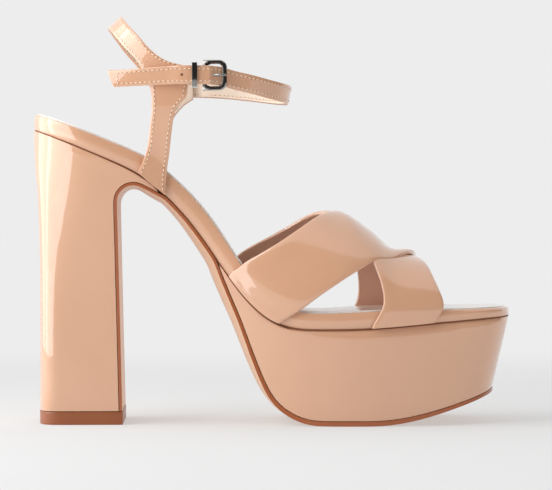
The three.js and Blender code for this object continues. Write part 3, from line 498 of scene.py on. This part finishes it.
def sole_sheet(name, tone, deep, roughness, coat):
    """Moulded sole: thermoplastic rubber with a lacquered face and slight flow marks."""
    material, tree = new_material(name)
    place = add(tree, "ShaderNodeTexCoord")
    stretch = add(tree, "ShaderNodeMapping", {"Scale": (1.0, 4.0, 1.0)},
                  [("Vector", place, "Object")])
    flow = add(tree, "ShaderNodeTexNoise", {"Scale": 60.0, "Detail": 4.0, "Roughness": 0.55},
               [("Vector", stretch, "Vector")])
    colour = two_tones(tree, flow, tone, deep)
    grit = add(tree, "ShaderNodeTexNoise", {"Scale": 1500.0, "Detail": 2.0},
               [("Vector", place, "Object")])
    bump = add(tree, "ShaderNodeBump", {"Strength": 0.08, "Distance": 0.0001},
               [("Height", grit, "Fac")])
    shader(tree, {
        "Roughness": roughness, "IOR": 1.5, "Coat Weight": coat, "Coat Roughness": 0.12,
    }, [("Base Color", colour, 2), ("Normal", bump, "Normal")])
    return material


def plated_metal(name, tone):
    """Polished nickel plate on die-cast zinc: near mirror, with hairline polish marks."""
    material, tree = new_material(name)
    place = add(tree, "ShaderNodeTexCoord")
    marks = add(tree, "ShaderNodeTexNoise", {"Scale": 2500.0, "Detail": 2.0},
                [("Vector", place, "Object")])
    rough = add(tree, "ShaderNodeMapRange", {"To Min": 0.05, "To Max": 0.13},
                [("Value", marks, "Fac")])
    shader(tree, {"Base Color": linear(tone), "Metallic": 1.0}, [("Roughness", rough, "Result")])
    return material


def thread(name, tone):
    """Bonded polyester thread, twisted: a fine diagonal ribbing and a soft sheen."""
    material, tree = new_material(name)
    place = add(tree, "ShaderNodeTexCoord")
    twist = add(tree, "ShaderNodeTexWave", {"Scale": 900.0, "Distortion": 1.0},
                [("Vector", place, "Object")])
    bump = add(tree, "ShaderNodeBump", {"Strength": 0.3, "Distance": 0.00005},
               [("Height", twist, "Fac")])
    shader(tree, {"Base Color": linear(tone), "Roughness": 0.55, "Sheen Weight": 0.3},
           [("Normal", bump, "Normal")])
    return material


def plain_finish(name, tone, roughness):
    """A plain colour: edge paint, the seams' dark brown that is partly painted shade, and painted
    shade inside stitch and punched holes.
    """
    material, tree = new_material(name)
    place = add(tree, "ShaderNodeTexCoord")
    mottle = add(tree, "ShaderNodeTexNoise", {"Scale": 800.0, "Detail": 2.0},
                 [("Vector", place, "Object")])
    bump = add(tree, "ShaderNodeBump", {"Strength": 0.1, "Distance": 0.0001},
               [("Height", mottle, "Fac")])
    shader(tree, {"Base Color": linear(tone), "Roughness": roughness},
           [("Normal", bump, "Normal")])
    return material


PATENT = patent_leather("nude_patent_leather", "#DDAA89", "#D7A482")
# One lining leather in two copies: cream for the insides of the quarter and ankle strap, and a
# darker rose beige, painted shade, inside the crossed straps.
LINING = lining_leather("cream_lining_leather", "#EDDAC8", "#E4CFBC")
VAMP_LINING_PAINTED_SHADE = lining_leather("rose_beige_lining_painted_shade", "#DBAC94", "#D1A087")
SOCK = lining_leather("ivory_sock_leather", "#E6E0DA", "#E0D9D2", 0.3, 0.5, 0.02)
SOLE = sole_sheet("tan_sole_rubber", "#E2B48E", "#DAA981", 0.45, 0.15)
SOLE_EDGE = sole_sheet("darker_brown_sole_edge", "#AB613A", "#9E5733", 0.35, 0.4)
TIP = sole_sheet("brown_top_piece_rubber", "#9A5833", "#8D4D2B", 0.42, 0.15)
NICKEL = plated_metal("polished_nickel_plate", "#A3A09B")
THREAD = thread("cream_bonded_thread", "#EFD3B8")
HOLE = plain_finish("shade_in_stitch_holes", "#A06E4C", 0.8)
PUNCH = plain_finish("shade_in_punched_holes", "#5C3826", 0.9)
EDGE = plain_finish("nude_edge_paint", "#CE9875", 0.35)
SEAM_BROWN_AND_SHADE = plain_finish("seam_brown_and_painted_shade", "#7E4C33", 0.8)

# ---------------------------------------------------------------- sole, heel and footbed
# The sole's edge takes a darker brown than its faces, which are tan rubber.
TOE_EDGE_LENGTH = 30
EDGE_FACING = 0.5
outsole = copy_of("outsole", "sole_sheet", bevel=0.3)
give(outsole, SOLE_EDGE, SOLE)
for polygon in outsole.data.polygons:
    at_toe = polygon.center.x > (TOE_TIP - TOE_EDGE_LENGTH) * MM
    toe_edge = at_toe and abs(polygon.normal.z) < EDGE_FACING
    if abs(polygon.normal.y) < EDGE_FACING and not toe_edge:
        polygon.material_index = 1
finish_piece(outsole, "outsole", "outsole")

platform = copy_of("platform", "covered_platform", bevel=0.35)
give(platform, PATENT)
finish_piece(platform, "patent", "platform")

heel = copy_of("heel", "covered_heel", bevel=0.5)
give(heel, PATENT)
finish_piece(heel, "patent", "heel")

heel_tip = copy_of("heel_tip", "top_piece", bevel=0.35)
give(heel_tip, TIP)
finish_piece(heel_tip, "heel_tip", "heel_tip")

# The wrapped rim draws in towards the seam below it, so that its lower half mirrors the floor.
RIM_DRAW = 0.9
RIM_HALF_WIDTH = 30
RIM_DRAWN_SHARE = 0.6
footbed = copy_of("footbed", "wrapped_footbed", bevel=0)
for vertex in footbed.data.vertices:
    x = vertex.co.x / MM
    height = (vertex.co.z / MM - seam_z(x)) / (footbed_top(x) - seam_z(x))
    vertex.co.y *= 1 - RIM_DRAW / RIM_HALF_WIDTH * clamp(1 - height / RIM_DRAWN_SHARE) ** 2
give(footbed, PATENT)
finish_piece(footbed, "patent", "footbed")

SOCK_EDGE = 2.2
SOCK_EDGE_RISE = 0.15
SOCK_RISE = 0.38
SOCK_TAPER = 8.0
SOCK_THICKNESS = 0.98
HOLLOW_BRIDGE = 1.7
HOLLOW_REACH = 4


def sock_point(u, v):
    """The sock follows the footbed's plan, SOCK_EDGE inside it. It stands SOCK_RISE proud,
    less at its thinned edge, and bridges the hollow behind the ball."""
    t = 0.5 - 0.5 * math.cos(math.pi * v)
    x = mix(HEEL_BACK + SOCK_EDGE, TOE_TIP - SOCK_EDGE, t)
    width = half_width(along(t), -1 if u < 0.5 else 1) * (1 - 2 * SOCK_EDGE / BALL_WIDTH)
    from_end = min(x - HEEL_BACK, TOE_TIP - x) - SOCK_EDGE
    inside = min((1 - abs(2 * u - 1)) * width, from_end)
    hollow = seam_slope(x + HOLLOW_REACH) - seam_slope(x - HOLLOW_REACH)
    rise = mix(SOCK_EDGE_RISE, SOCK_RISE, ease(inside / SOCK_TAPER))
    rise += hollow * (HOLLOW_BRIDGE if hollow > 0 else 1)
    return Vector((x, (2 * u - 1) * width, footbed_top(x) + rise))


sock = formed_grid("sock_sheet", 30, 220, sock_point)
take(sock)
bpy.ops.object.mode_set(mode="EDIT")
bpy.ops.mesh.select_all(action="SELECT")
bpy.ops.mesh.remove_doubles(threshold=0.00001)
bpy.ops.object.mode_set(mode="OBJECT")
face_outwards(sock, lambda c: Vector((c.x, c.y, -1)))
apply_modifier(sock, "SOLIDIFY", thickness=SOCK_THICKNESS * MM, offset=-1)
round_edges(sock, 0.25, 3)
give(sock, SOCK)
finish_piece(sock, "sock", "sock")

# The lasting board shows as a dark line in the seam under the footbed: its dark brown is partly
# the board's own and partly painted shade in the seam.
BOARD_INSET = 0.7
BOARD_END_INSET = 1.2
BOARD_THICKNESS = 0.5


def board_point(u, v):
    x = mix(HEEL_BACK + BOARD_END_INSET, TOE_TIP - BOARD_END_INSET, v)
    side = -1 if u < 0.5 else 1
    width = max(0.0, half_width(x, side) - BOARD_INSET)
    return Vector((x, (2 * u - 1) * width, seam_z(x)))


board = formed_grid("lasting_board", 8, 160, board_point)
give(board, SEAM_BROWN_AND_SHADE)
apply_modifier(board, "SOLIDIFY", thickness=BOARD_THICKNESS * MM, offset=0)
smooth_shade(board, 35)
finish_piece(board, "patent")

# Cement fills the joint between the sole sheet and what stands on it, its dark brown partly
# painted shade in the joint: it follows the sheet's faces towards the heel, the footbed and the
# platform, a little inside its edges.
CEMENT_END = 100.0
BREAST_END = 26.0
CEMENT_WIDTH_SHARE = 0.95
CEMENT_THICKNESS = 1.2
cement = copy_of("outsole", "sole_cement", bevel=0, levels=1)
for polygon in cement.data.polygons:
    on_breast = polygon.center.x < BREAST_END * MM and polygon.normal.x < -0.5
    inner_face = polygon.normal.z > 0.15 or on_breast
    polygon.select = not inner_face or polygon.center.x > CEMENT_END * MM
take(cement)
bpy.ops.object.mode_set(mode="EDIT")
bpy.ops.mesh.select_mode(type="FACE")
bpy.ops.mesh.delete(type="FACE")
bpy.ops.object.mode_set(mode="OBJECT")
for vertex in cement.data.vertices:
    vertex.co.y *= CEMENT_WIDTH_SHARE
give(cement, SEAM_BROWN_AND_SHADE)
apply_modifier(cement, "SOLIDIFY", thickness=CEMENT_THICKNESS * MM, offset=0.6)
finish_piece(cement, "outsole")

# ---------------------------------------------------------------- crossed straps
VAMP_ACROSS = 28
VAMP_ALONG = 110


def wall_share(v):
    """The share of the strap's wall that is left at v, thinned at both lasted ends."""
    return mix(VAMP_SKIVE, 1, ease(min(v, 1 - v) / SKIVE_GIRTH))


def crossed_strap(name, mirrored):
    """One wide strap, its edges rolled under, walled inwards from its outer face.
    The mirrored one lies under the other."""
    def lift(x, girth, u):
        """The under strap sinks where it is covered. The over strap rides on it, and its
        lip stands up."""
        rear, front = strap_edges(girth, not mirrored)
        inside = min(x - rear, front - x)
        if mirrored:
            return -CROSSING_SINK * ease(inside / CROSSING_BLEND)
        lip = math.sin(math.pi * clamp((girth - LIP_FROM_GIRTH) / LIP_GIRTH)) ** 2
        lip *= ease((u - LIP_FROM_WIDTH) / (1 - LIP_FROM_WIDTH))
        return CROSSING_STEP * ease(inside / CROSSING_BLEND + 1) + LIP_RISE * lip

    def place(u, v):
        rear, front = strap_edges(v, mirrored)
        x = mix(rear, front, u)
        wall = VAMP_WALL * wall_share(v)
        rolled = 0.5 * abs(2 * u - 1) ** 14
        return vamp_point(x, v, lift(x, v, u) + wall - rolled)

    obj = formed_grid(name, VAMP_ACROSS, VAMP_ALONG, place)
    face_outwards(obj, lambda c: Vector((c.x, 0, 0.05)))
    group = obj.vertex_groups.new(name="wall")
    for vertex in obj.data.vertices:
        v = vertex.index // (VAMP_ACROSS + 1) / VAMP_ALONG
        group.add([vertex.index], wall_share(v), "REPLACE")
    # The crossed straps' lining takes the darker rose copy: painted shade.
    give(obj, PATENT, VAMP_LINING_PAINTED_SHADE, EDGE)
    apply_modifier(
        obj, "SOLIDIFY", thickness=VAMP_WALL * MM, offset=-1, material_offset=1,
        material_offset_rim=0, vertex_group="wall", use_quality_normals=True,
    )
    round_edges(obj, 0.55, 3)
    obj.vertex_groups.clear()
    return obj


under_strap = crossed_strap("crossed_strap_under", True)
over_strap = crossed_strap("crossed_straps", False)
take(over_strap)
under_strap.select_set(True)
bpy.ops.object.join()
finish_piece(over_strap, "patent", "vamp_straps")

# ---------------------------------------------------------------- quarter
STRAP_AT_BUCKLE = rise_z(0.37) + STRAP_WIDTH / 2
PIVOT_X = ANKLE_CENTRE + 3.2
KEEPER_X = ANKLE_CENTRE - 1.3
TONGUE_END = PIVOT_X - BUCKLE_WIRE / 2 - 2
TONGUE_START = KEEPER_X - KEEPER_WIDTH / 2 - 1.6
SEWN_END = ANKLE_CENTRE - 2


def catmull(points, t):
    """A point on a uniform smooth curve through the given ones, t from 0 to 1."""
    spans = len(points) - 1
    at = clamp(t) * spans
    i = min(int(at), spans - 1)
    f = at - i
    p1, p2 = points[i], points[i + 1]
    p0 = points[i - 1] if i else tuple(2 * a - b for a, b in zip(p1, p2))
    p3 = points[i + 2] if i + 2 <= spans else tuple(2 * b - a for a, b in zip(p1, p2))
    return tuple(
        0.5 * (2 * b + (c - a) * f + (2 * a - 5 * b + 4 * c - d) * f * f
               + (3 * b - a - 3 * c + d) * f ** 3)
        for a, b, c, d in zip(p0, p1, p2, p3)
    )


def denser(rows, count):
    """The rows with count steps from each to the next, on a smooth curve."""
    total = (len(rows) - 1) * count
    return [catmull(rows, i / total) for i in range(total + 1)]


def quarter_rows(side):
    """Rows of rear turn and height, front turn and height, from the seam up the leg, past
    the tab and round to the middle of the back."""
    def as_heights(row):
        return row[0], rise_z(row[1]), row[2], rise_z(row[3])

    def foot(turn, rise):
        return turn, seam_z(ankle_form(turn, rise_z(rise)).x) + GAP

    if side < 0:
        low, high = STRAP_AT_BUCKLE - TAB_WIDTH / 2, STRAP_AT_BUCKLE + TAB_WIDTH / 2
        corners = ((TONGUE_START, low), (TONGUE_END, low),
                   (TONGUE_END, high), (TONGUE_START, high))
    else:
        low = rise_z(0.33)
        high = low + STRAP_WIDTH + 1
        corners = ((TONGUE_START + 0.6, rise_z(0.303)), (SEWN_END, low - 0.6),
                   (SEWN_END, high), (TONGUE_START, high + 0.2))
    rear = OUTER_TAB_ROWS if side < 0 else INNER_TAB_ROWS
    tab = [(turn, rise_z(rise), turn_at(x, z), z) for (turn, rise), (x, z) in zip(rear, corners)]
    slim = 0 if side < 0 else INNER_LEG_SLIM
    leg_rows = [(rear, low_z, front + slim, high_z)
                for rear, low_z, front, high_z in (as_heights(row) for row in LEG_ROWS)]
    rear_turn, rear_rise, front_turn, front_rise = LEG_FOOT
    leg_foot = (*foot(rear_turn, rear_rise), *foot(front_turn + slim, front_rise))
    legs = denser([leg_foot] + leg_rows, 6)
    bands = denser([as_heights(row) for row in BAND_ROWS], 6)
    rows = legs + tab + bands
    thick = []
    tab_start = len(legs) - 1
    for i, row in enumerate(rows):
        thick.append(row)
        if tab_start <= i < tab_start + len(tab) + 1:
            following = rows[i + 1]
            for k in range(1, 4):
                thick.append(tuple(mix(a, b, k / 4) for a, b in zip(row, following)))
    return thick


OUTER_ROWS = [(row, -1) for row in quarter_rows(-1)]
INNER_ROWS = [(row, 1) for row in quarter_rows(1)]
QUARTER_ROWS = OUTER_ROWS + INNER_ROWS[::-1][1:]
LAST_ROW = len(QUARTER_ROWS) - 1


def quarter_point(u, index, offset):
    """A point on the quarter's form: u from the rear edge, 0, to the front one, 1."""
    low = min(int(index), LAST_ROW)
    high = min(low + 1, LAST_ROW)
    share = index - low
    points = []
    for i in (low, high):
        row, side = QUARTER_ROWS[i]
        turn, z = mix(row[0], row[2], u), mix(row[1], row[3], u)
        points.append(ankle_point(turn if side < 0 else 180 - turn, z, offset))
    return points[0].lerp(points[1], share)


def quarter_skin(u, v):
    rolled = 0.3 * abs(2 * u - 1) ** 10
    return quarter_point(u, v * LAST_ROW, QUARTER_WALL - rolled)


def lined_strap(name, node, across, lengthwise, skin, wall):
    """Leather walled inwards from its outer skin, lined inside, its edges painted."""
    obj = formed_grid(name, across, lengthwise, skin)
    face_outwards(obj, lambda c: Vector((ANKLE_CENTRE * MM, 0, c.z)))
    give(obj, PATENT, LINING, EDGE)
    apply_modifier(obj, "SOLIDIFY", thickness=wall * MM, offset=-1, material_offset=1,
                   material_offset_rim=2, use_quality_normals=True)
    round_edges(obj, 0.35, 2)
    finish_piece(obj, "patent", node)


lined_strap("quarter_and_back_strap", "quarter", 12, LAST_ROW, quarter_skin, QUARTER_WALL)

# ---------------------------------------------------------------- ankle strap
STRAP_LAYER = QUARTER_WALL + GAP


def ankle_strap_point(u, v, offset):
    """u across the strap from its lower edge, v along it from the inner tab to the tip."""
    turn, rise, layer, width = catmull(ANKLE_STRAP_ROWS, v)
    slant = math.degrees(TIP_SLANT / (ANKLE_WIDTH / 2)) * ease((v - 0.96) / 0.04)
    z = rise_z(rise) + STRAP_WIDTH * width * u
    return ankle_point(turn + slant * u, z, layer * STRAP_LAYER + offset)


def ankle_strap_skin(u, v):
    rolled = 0.25 * abs(2 * u - 1) ** 10
    return ankle_strap_point(u, v, STRAP_WALL - rolled)


lined_strap("buckled_ankle_strap", "ankle_strap", 10, 260, ankle_strap_skin, STRAP_WALL)

# ---------------------------------------------------------------- buckle
for node, name, material, slot in (
    ("buckle", "buckle_frame", NICKEL, "metal"),
    ("prong", "buckle_prong", NICKEL, "metal"),
    ("keeper", "keeper_loop", NICKEL, "metal"),
    ("buckle_tab", "folded_buckle_tab", PATENT, "patent"),
):
    piece = copy_of(node, name, bevel=0.2, levels=1)
    give(piece, material)
    finish_piece(piece, slot, node)


# ---------------------------------------------------------------- stitching
EDGE_U = STITCH_MARGIN / STRAP_WIDTH
STEPS_PER_ROW = 4
EDGE_STEPS = 300
TIP_STEPS = 12


def even_steps(track, pitch):
    """Places pitch apart along a track of (point, outward) pairs, with the way it runs."""
    lengths = [0.0]
    for a, b in zip(track, track[1:]):
        lengths.append(lengths[-1] + (b[0] - a[0]).length)
    count = max(1, int(lengths[-1] / pitch))
    places, i = [], 0
    for k in range(count):
        at = (k + 0.5) * lengths[-1] / count
        while i + 2 < len(lengths) and lengths[i + 1] < at:
            i += 1
        t = (at - lengths[i]) / max(1e-9, lengths[i + 1] - lengths[i])
        places.append((
            track[i][0].lerp(track[i + 1][0], t),
            track[i][1].lerp(track[i + 1][1], t).normalized(),
            (track[i + 1][0] - track[i][0]).normalized(),
        ))
    return places


def unit_bead(rings):
    """A bead at the origin, which repeat() scales to a stitch or to the painted shade of a hole,
    Z outwards.
    """
    deselect()
    bpy.ops.mesh.primitive_uv_sphere_add(segments=8, ring_count=rings, radius=1)
    return bpy.context.object


def ordered_faces(mesh):
    """The mesh's faces in one order, each from its lowest corner. Blender's own sphere lists
    them in another order each run."""
    faces = []
    for polygon in mesh.polygons:
        corners = tuple(polygon.vertices)
        first = corners.index(min(corners))
        faces.append(corners[first:] + corners[:first])
    return sorted(faces)


def repeat(name, source, places, scale, sink, material, slot):
    """Copies of the source at all places, as one piece."""
    coords = [v.co.copy() for v in source.data.vertices]
    faces = ordered_faces(source.data)
    points, all_faces = [], []
    for at, out, run in places:
        across = out.cross(run).normalized()
        out = run.cross(across).normalized()
        turn = Matrix((run, across, out)).transposed()
        base = len(points)
        for co in coords:
            local = Vector((co.x * scale[0], co.y * scale[1], co.z * scale[2] + sink))
            points.append((at + turn @ local) * MM)
        all_faces.extend(tuple(i + base for i in face) for face in faces)
    mesh = bpy.data.meshes.new(name)
    mesh.from_pydata([tuple(p) for p in points], [], all_faces)
    mesh.update()
    obj = bpy.data.objects.new(name, mesh)
    bpy.context.collection.objects.link(obj)
    give(obj, material)
    take(obj)
    bpy.ops.object.shade_smooth()
    return finish_piece(obj, slot)


def outward_of(point_at, u, at, wall):
    return (point_at(u, at, wall + 1) - point_at(u, at, wall)).normalized()


def on_skin(point_at, u, at, wall):
    """A point of the outer skin and the way outwards from it."""
    return point_at(u, at, wall), outward_of(point_at, u, at, wall)


def quarter_track(from_rear, start, stop):
    """A line STITCH_MARGIN inside the quarter's rear or front edge."""
    track = []
    steps = int((stop - start) * STEPS_PER_ROW)
    for k in range(steps + 1):
        index = start + (stop - start) * k / steps
        width = (quarter_point(0, index, 0) - quarter_point(1, index, 0)).length
        u = STITCH_MARGIN / width
        u = u if from_rear else 1 - u
        track.append(on_skin(quarter_point, u, index, QUARTER_WALL))
    return track


def strap_round(start, tip):
    """Along the lower edge, up the slanted tip and back along the upper edge."""
    line = [(EDGE_U, start)]
    line += [(EDGE_U, mix(start, tip, k / EDGE_STEPS)) for k in range(1, EDGE_STEPS + 1)]
    line += [(mix(EDGE_U, 1 - EDGE_U, k / TIP_STEPS), tip) for k in range(1, TIP_STEPS)]
    line += [(1 - EDGE_U, mix(tip, start, k / EDGE_STEPS)) for k in range(EDGE_STEPS + 1)]
    return [on_skin(ankle_strap_point, u, v, STRAP_WALL) for u, v in line]


def turned_in(track, wall):
    """The same line on the lining's side of the wall."""
    return [(at - out * wall, -out) for at, out in track]


STRAP_START = 0.02
TIP_ROW = 0.982
rear_line = quarter_track(True, 1, LAST_ROW - 1)
front_line = quarter_track(False, 1, LAST_ROW - 1)
strap_line = strap_round(STRAP_START, TIP_ROW)
tracks = [
    rear_line, front_line, strap_line, turned_in(rear_line, QUARTER_WALL),
    turned_in(front_line, QUARTER_WALL), turned_in(strap_line, STRAP_WALL),
]
stitch_places, hole_places = [], []
for track in tracks:
    places = even_steps(track, STITCH_PITCH)
    stitch_places.extend(places)
    for a, b in zip(places, places[1:]):
        hole_places.append((a[0].lerp(b[0], 0.5), a[1], a[2]))

STITCH_SIZE = (STITCH_LENGTH / 2, STITCH_RADIUS, STITCH_RADIUS * 0.8)
PINHOLE_SIZE = (0.26, 0.2, 0.04)
PUNCHED_SIZE = (0.6, 0.6, 0.06)
stitch = unit_bead(6)
hole = unit_bead(4)
repeat("edge_stitching", stitch, stitch_places, STITCH_SIZE, 0.02, THREAD, "patent")
# The pinholes between the stitches are flat dark beads: painted shade in the holes.
repeat("stitch_holes", hole, hole_places, PINHOLE_SIZE, 0.0, HOLE, "patent")

# Punched holes in the ankle strap, at their places along the shoe: one spare on each side
# of the prong. Each is a flat dark bead, painted shade in the hole.
PUNCHED_AT = (45.3, 73.2)


def strap_share_at(x):
    """The share along the outer part of the strap whose middle lies at x."""
    low, high = 0.6, 0.98
    for _ in range(40):
        middle = (low + high) / 2
        if ankle_strap_point(0.5, middle, STRAP_WALL).x > x:
            low = middle
        else:
            high = middle
    return (low + high) / 2


punch_places = []
for v in map(strap_share_at, PUNCHED_AT):
    ahead = ankle_strap_point(0.5, v + 0.004, STRAP_WALL)
    behind = ankle_strap_point(0.5, v - 0.004, STRAP_WALL)
    at, out = on_skin(ankle_strap_point, 0.5, v, STRAP_WALL)
    punch_places.append((at, out, (ahead - behind).normalized()))
repeat("punched_holes", hole, punch_places, PUNCHED_SIZE, 0.0, PUNCH, "patent")
for tool in (stitch, hole):
    bpy.data.objects.remove(tool, do_unlink=True)

# ---------------------------------------------------------------- studio
def studio_floor():
    """A pale paper sweep, in metres: flat under the shoe and curved up far behind it."""
    deselect()
    bpy.ops.mesh.primitive_grid_add(x_subdivisions=2, y_subdivisions=60, size=1)
    obj = bpy.context.object
    obj.name = "studio_floor"
    width, length = 14, 9.0
    bend_from, radius, front = 2.2, 1.5, -3.0
    for vertex in obj.data.vertices:
        t = vertex.co.y + 0.5
        x = vertex.co.x * width
        run = front + t * length
        if run < bend_from:
            vertex.co = (x, run, 0)
        else:
            arc = min((run - bend_from) / radius, math.pi / 2)
            rest = max(0.0, run - bend_from - radius * math.pi / 2)
            rise = radius * (1 - math.cos(arc)) + rest
            vertex.co = (x, bend_from + radius * math.sin(arc), rise)
    take(obj)
    bpy.ops.object.shade_smooth()
    material, tree = new_material("matt_white_paper")
    place = add(tree, "ShaderNodeTexCoord")
    fibre = add(tree, "ShaderNodeTexNoise", {"Scale": 600.0, "Detail": 2.0},
                [("Vector", place, "Object")])
    bump = add(tree, "ShaderNodeBump", {"Strength": 0.02, "Distance": 0.0001},
               [("Height", fibre, "Fac")])
    paper = add(tree, "ShaderNodeBsdfDiffuse", {"Color": linear("#DDDDDD")},
                [("Normal", bump, "Normal")])
    # The paper also glows: near the shoe half its tone is painted glow, which lightens the shoe's
    # shadow, and far behind the shoe the glow alone keeps one even tone.
    lit = add(tree, "ShaderNodeEmission", {"Color": linear("#EDEDED"), "Strength": 1.0})
    parts = add(tree, "ShaderNodeSeparateXYZ", None, [("Vector", place, "Object")])
    fade = add(tree, "ShaderNodeMapRange", {
        "interpolation_type": "SMOOTHSTEP", "From Min": 0.1, "From Max": 0.7, "To Min": 0.5,
    }, [("Value", parts, "Y")])
    both = add(tree, "ShaderNodeMixShader", None,
               [("Fac", fade, "Result"), (1, paper, "BSDF"), (2, lit, "Emission")])
    add(tree, "ShaderNodeOutputMaterial", None, [("Surface", both, "Shader")])
    give(obj, material)


def soft_light(name, place, aim, size, power, mirrored=True):
    """A rectangular softbox; place, aim and size are in metres, power in watts."""
    light = bpy.data.lights.new(name, "AREA")
    light.shape = "RECTANGLE"
    light.size, light.size_y = size
    light.energy = power
    obj = bpy.data.objects.new(name, light)
    obj.visible_glossy = mirrored
    bpy.context.collection.objects.link(obj)
    obj.location = place
    obj.rotation_euler = (Vector(aim) - Vector(place)).to_track_quat("-Z", "Y").to_euler()


studio_floor()
# Two tall panels at the left make the pale bands on the heel, the rim and the straps. The
# fill and the overhead light only lighten the leather and don't show in it.
PANELS_AIM = (0.0, 0, 0.355)
soft_light("key_at_front_left", (-0.35, -0.21, 0.385), PANELS_AIM, (0.53, 0.76), 3.3)
soft_light("side_panel_at_left", (-0.51, 0.12, 0.385), PANELS_AIM, (0.47, 0.76), 1.75)
soft_light("fill_at_front_right", (0.7, -0.6, 0.25), (0.15, 0, 0.05), (0.5, 0.4), 1.8,
           mirrored=False)
soft_light("overhead", (0.05, 0.05, 1.2), (0.1, 0, 0.05), (0.9, 0.9), 0.2, mirrored=False)

world = bpy.data.worlds.new("even_studio")
bpy.context.scene.world = world
world.use_nodes = True
sky = world.node_tree
sky.nodes.clear()
# A bright room above, behind and to the left; the side of the camera is dark, so that
# the metal's flat faces mirror black and the patent leather shows the ceiling's edge.
direction = add(sky, "ShaderNodeTexCoord")
towards = add(sky, "ShaderNodeVectorMath", {"operation": "DOT_PRODUCT", 1: (-0.3, 0.55, 0.9)},
              [(0, direction, "Generated")])
facing = add(sky, "ShaderNodeMapRange", {
    "interpolation_type": "SMOOTHSTEP", "From Min": 0.3, "From Max": 0.42,
    "To Min": 0.05, "To Max": 0.84,
}, [("Value", towards, "Value")])
glow = add(sky, "ShaderNodeBackground", {"Color": linear("#FFFFFF")},
           [("Strength", facing, "Result")])
add(sky, "ShaderNodeOutputWorld", None, [("Surface", glow, "Background")])

# ---------------------------------------------------------------- camera
CAMERA_DISTANCE = 1000.0
CAMERA_YAW = math.radians(2)
CAMERA_HEIGHT = 79.8
CENTRE_X = 87.85
PIXEL_MM = 0.455
PHOTO_WIDTH = 552
camera = bpy.data.cameras.new("camera")
camera.sensor_width = 36
camera.lens = 36 * CAMERA_DISTANCE / PIXEL_MM / PHOTO_WIDTH
camera.clip_end = 50
camera_object = bpy.data.objects.new("camera", camera)
bpy.context.collection.objects.link(camera_object)
camera_object.location = Vector((
    CENTRE_X - CAMERA_DISTANCE * math.sin(CAMERA_YAW),
    -CAMERA_DISTANCE * math.cos(CAMERA_YAW),
    CAMERA_HEIGHT,
)) * MM
camera_object.rotation_euler = (math.radians(90), 0, -CAMERA_YAW)
bpy.context.scene.camera = camera_object
bpy.context.scene.view_settings.view_transform = "Standard"
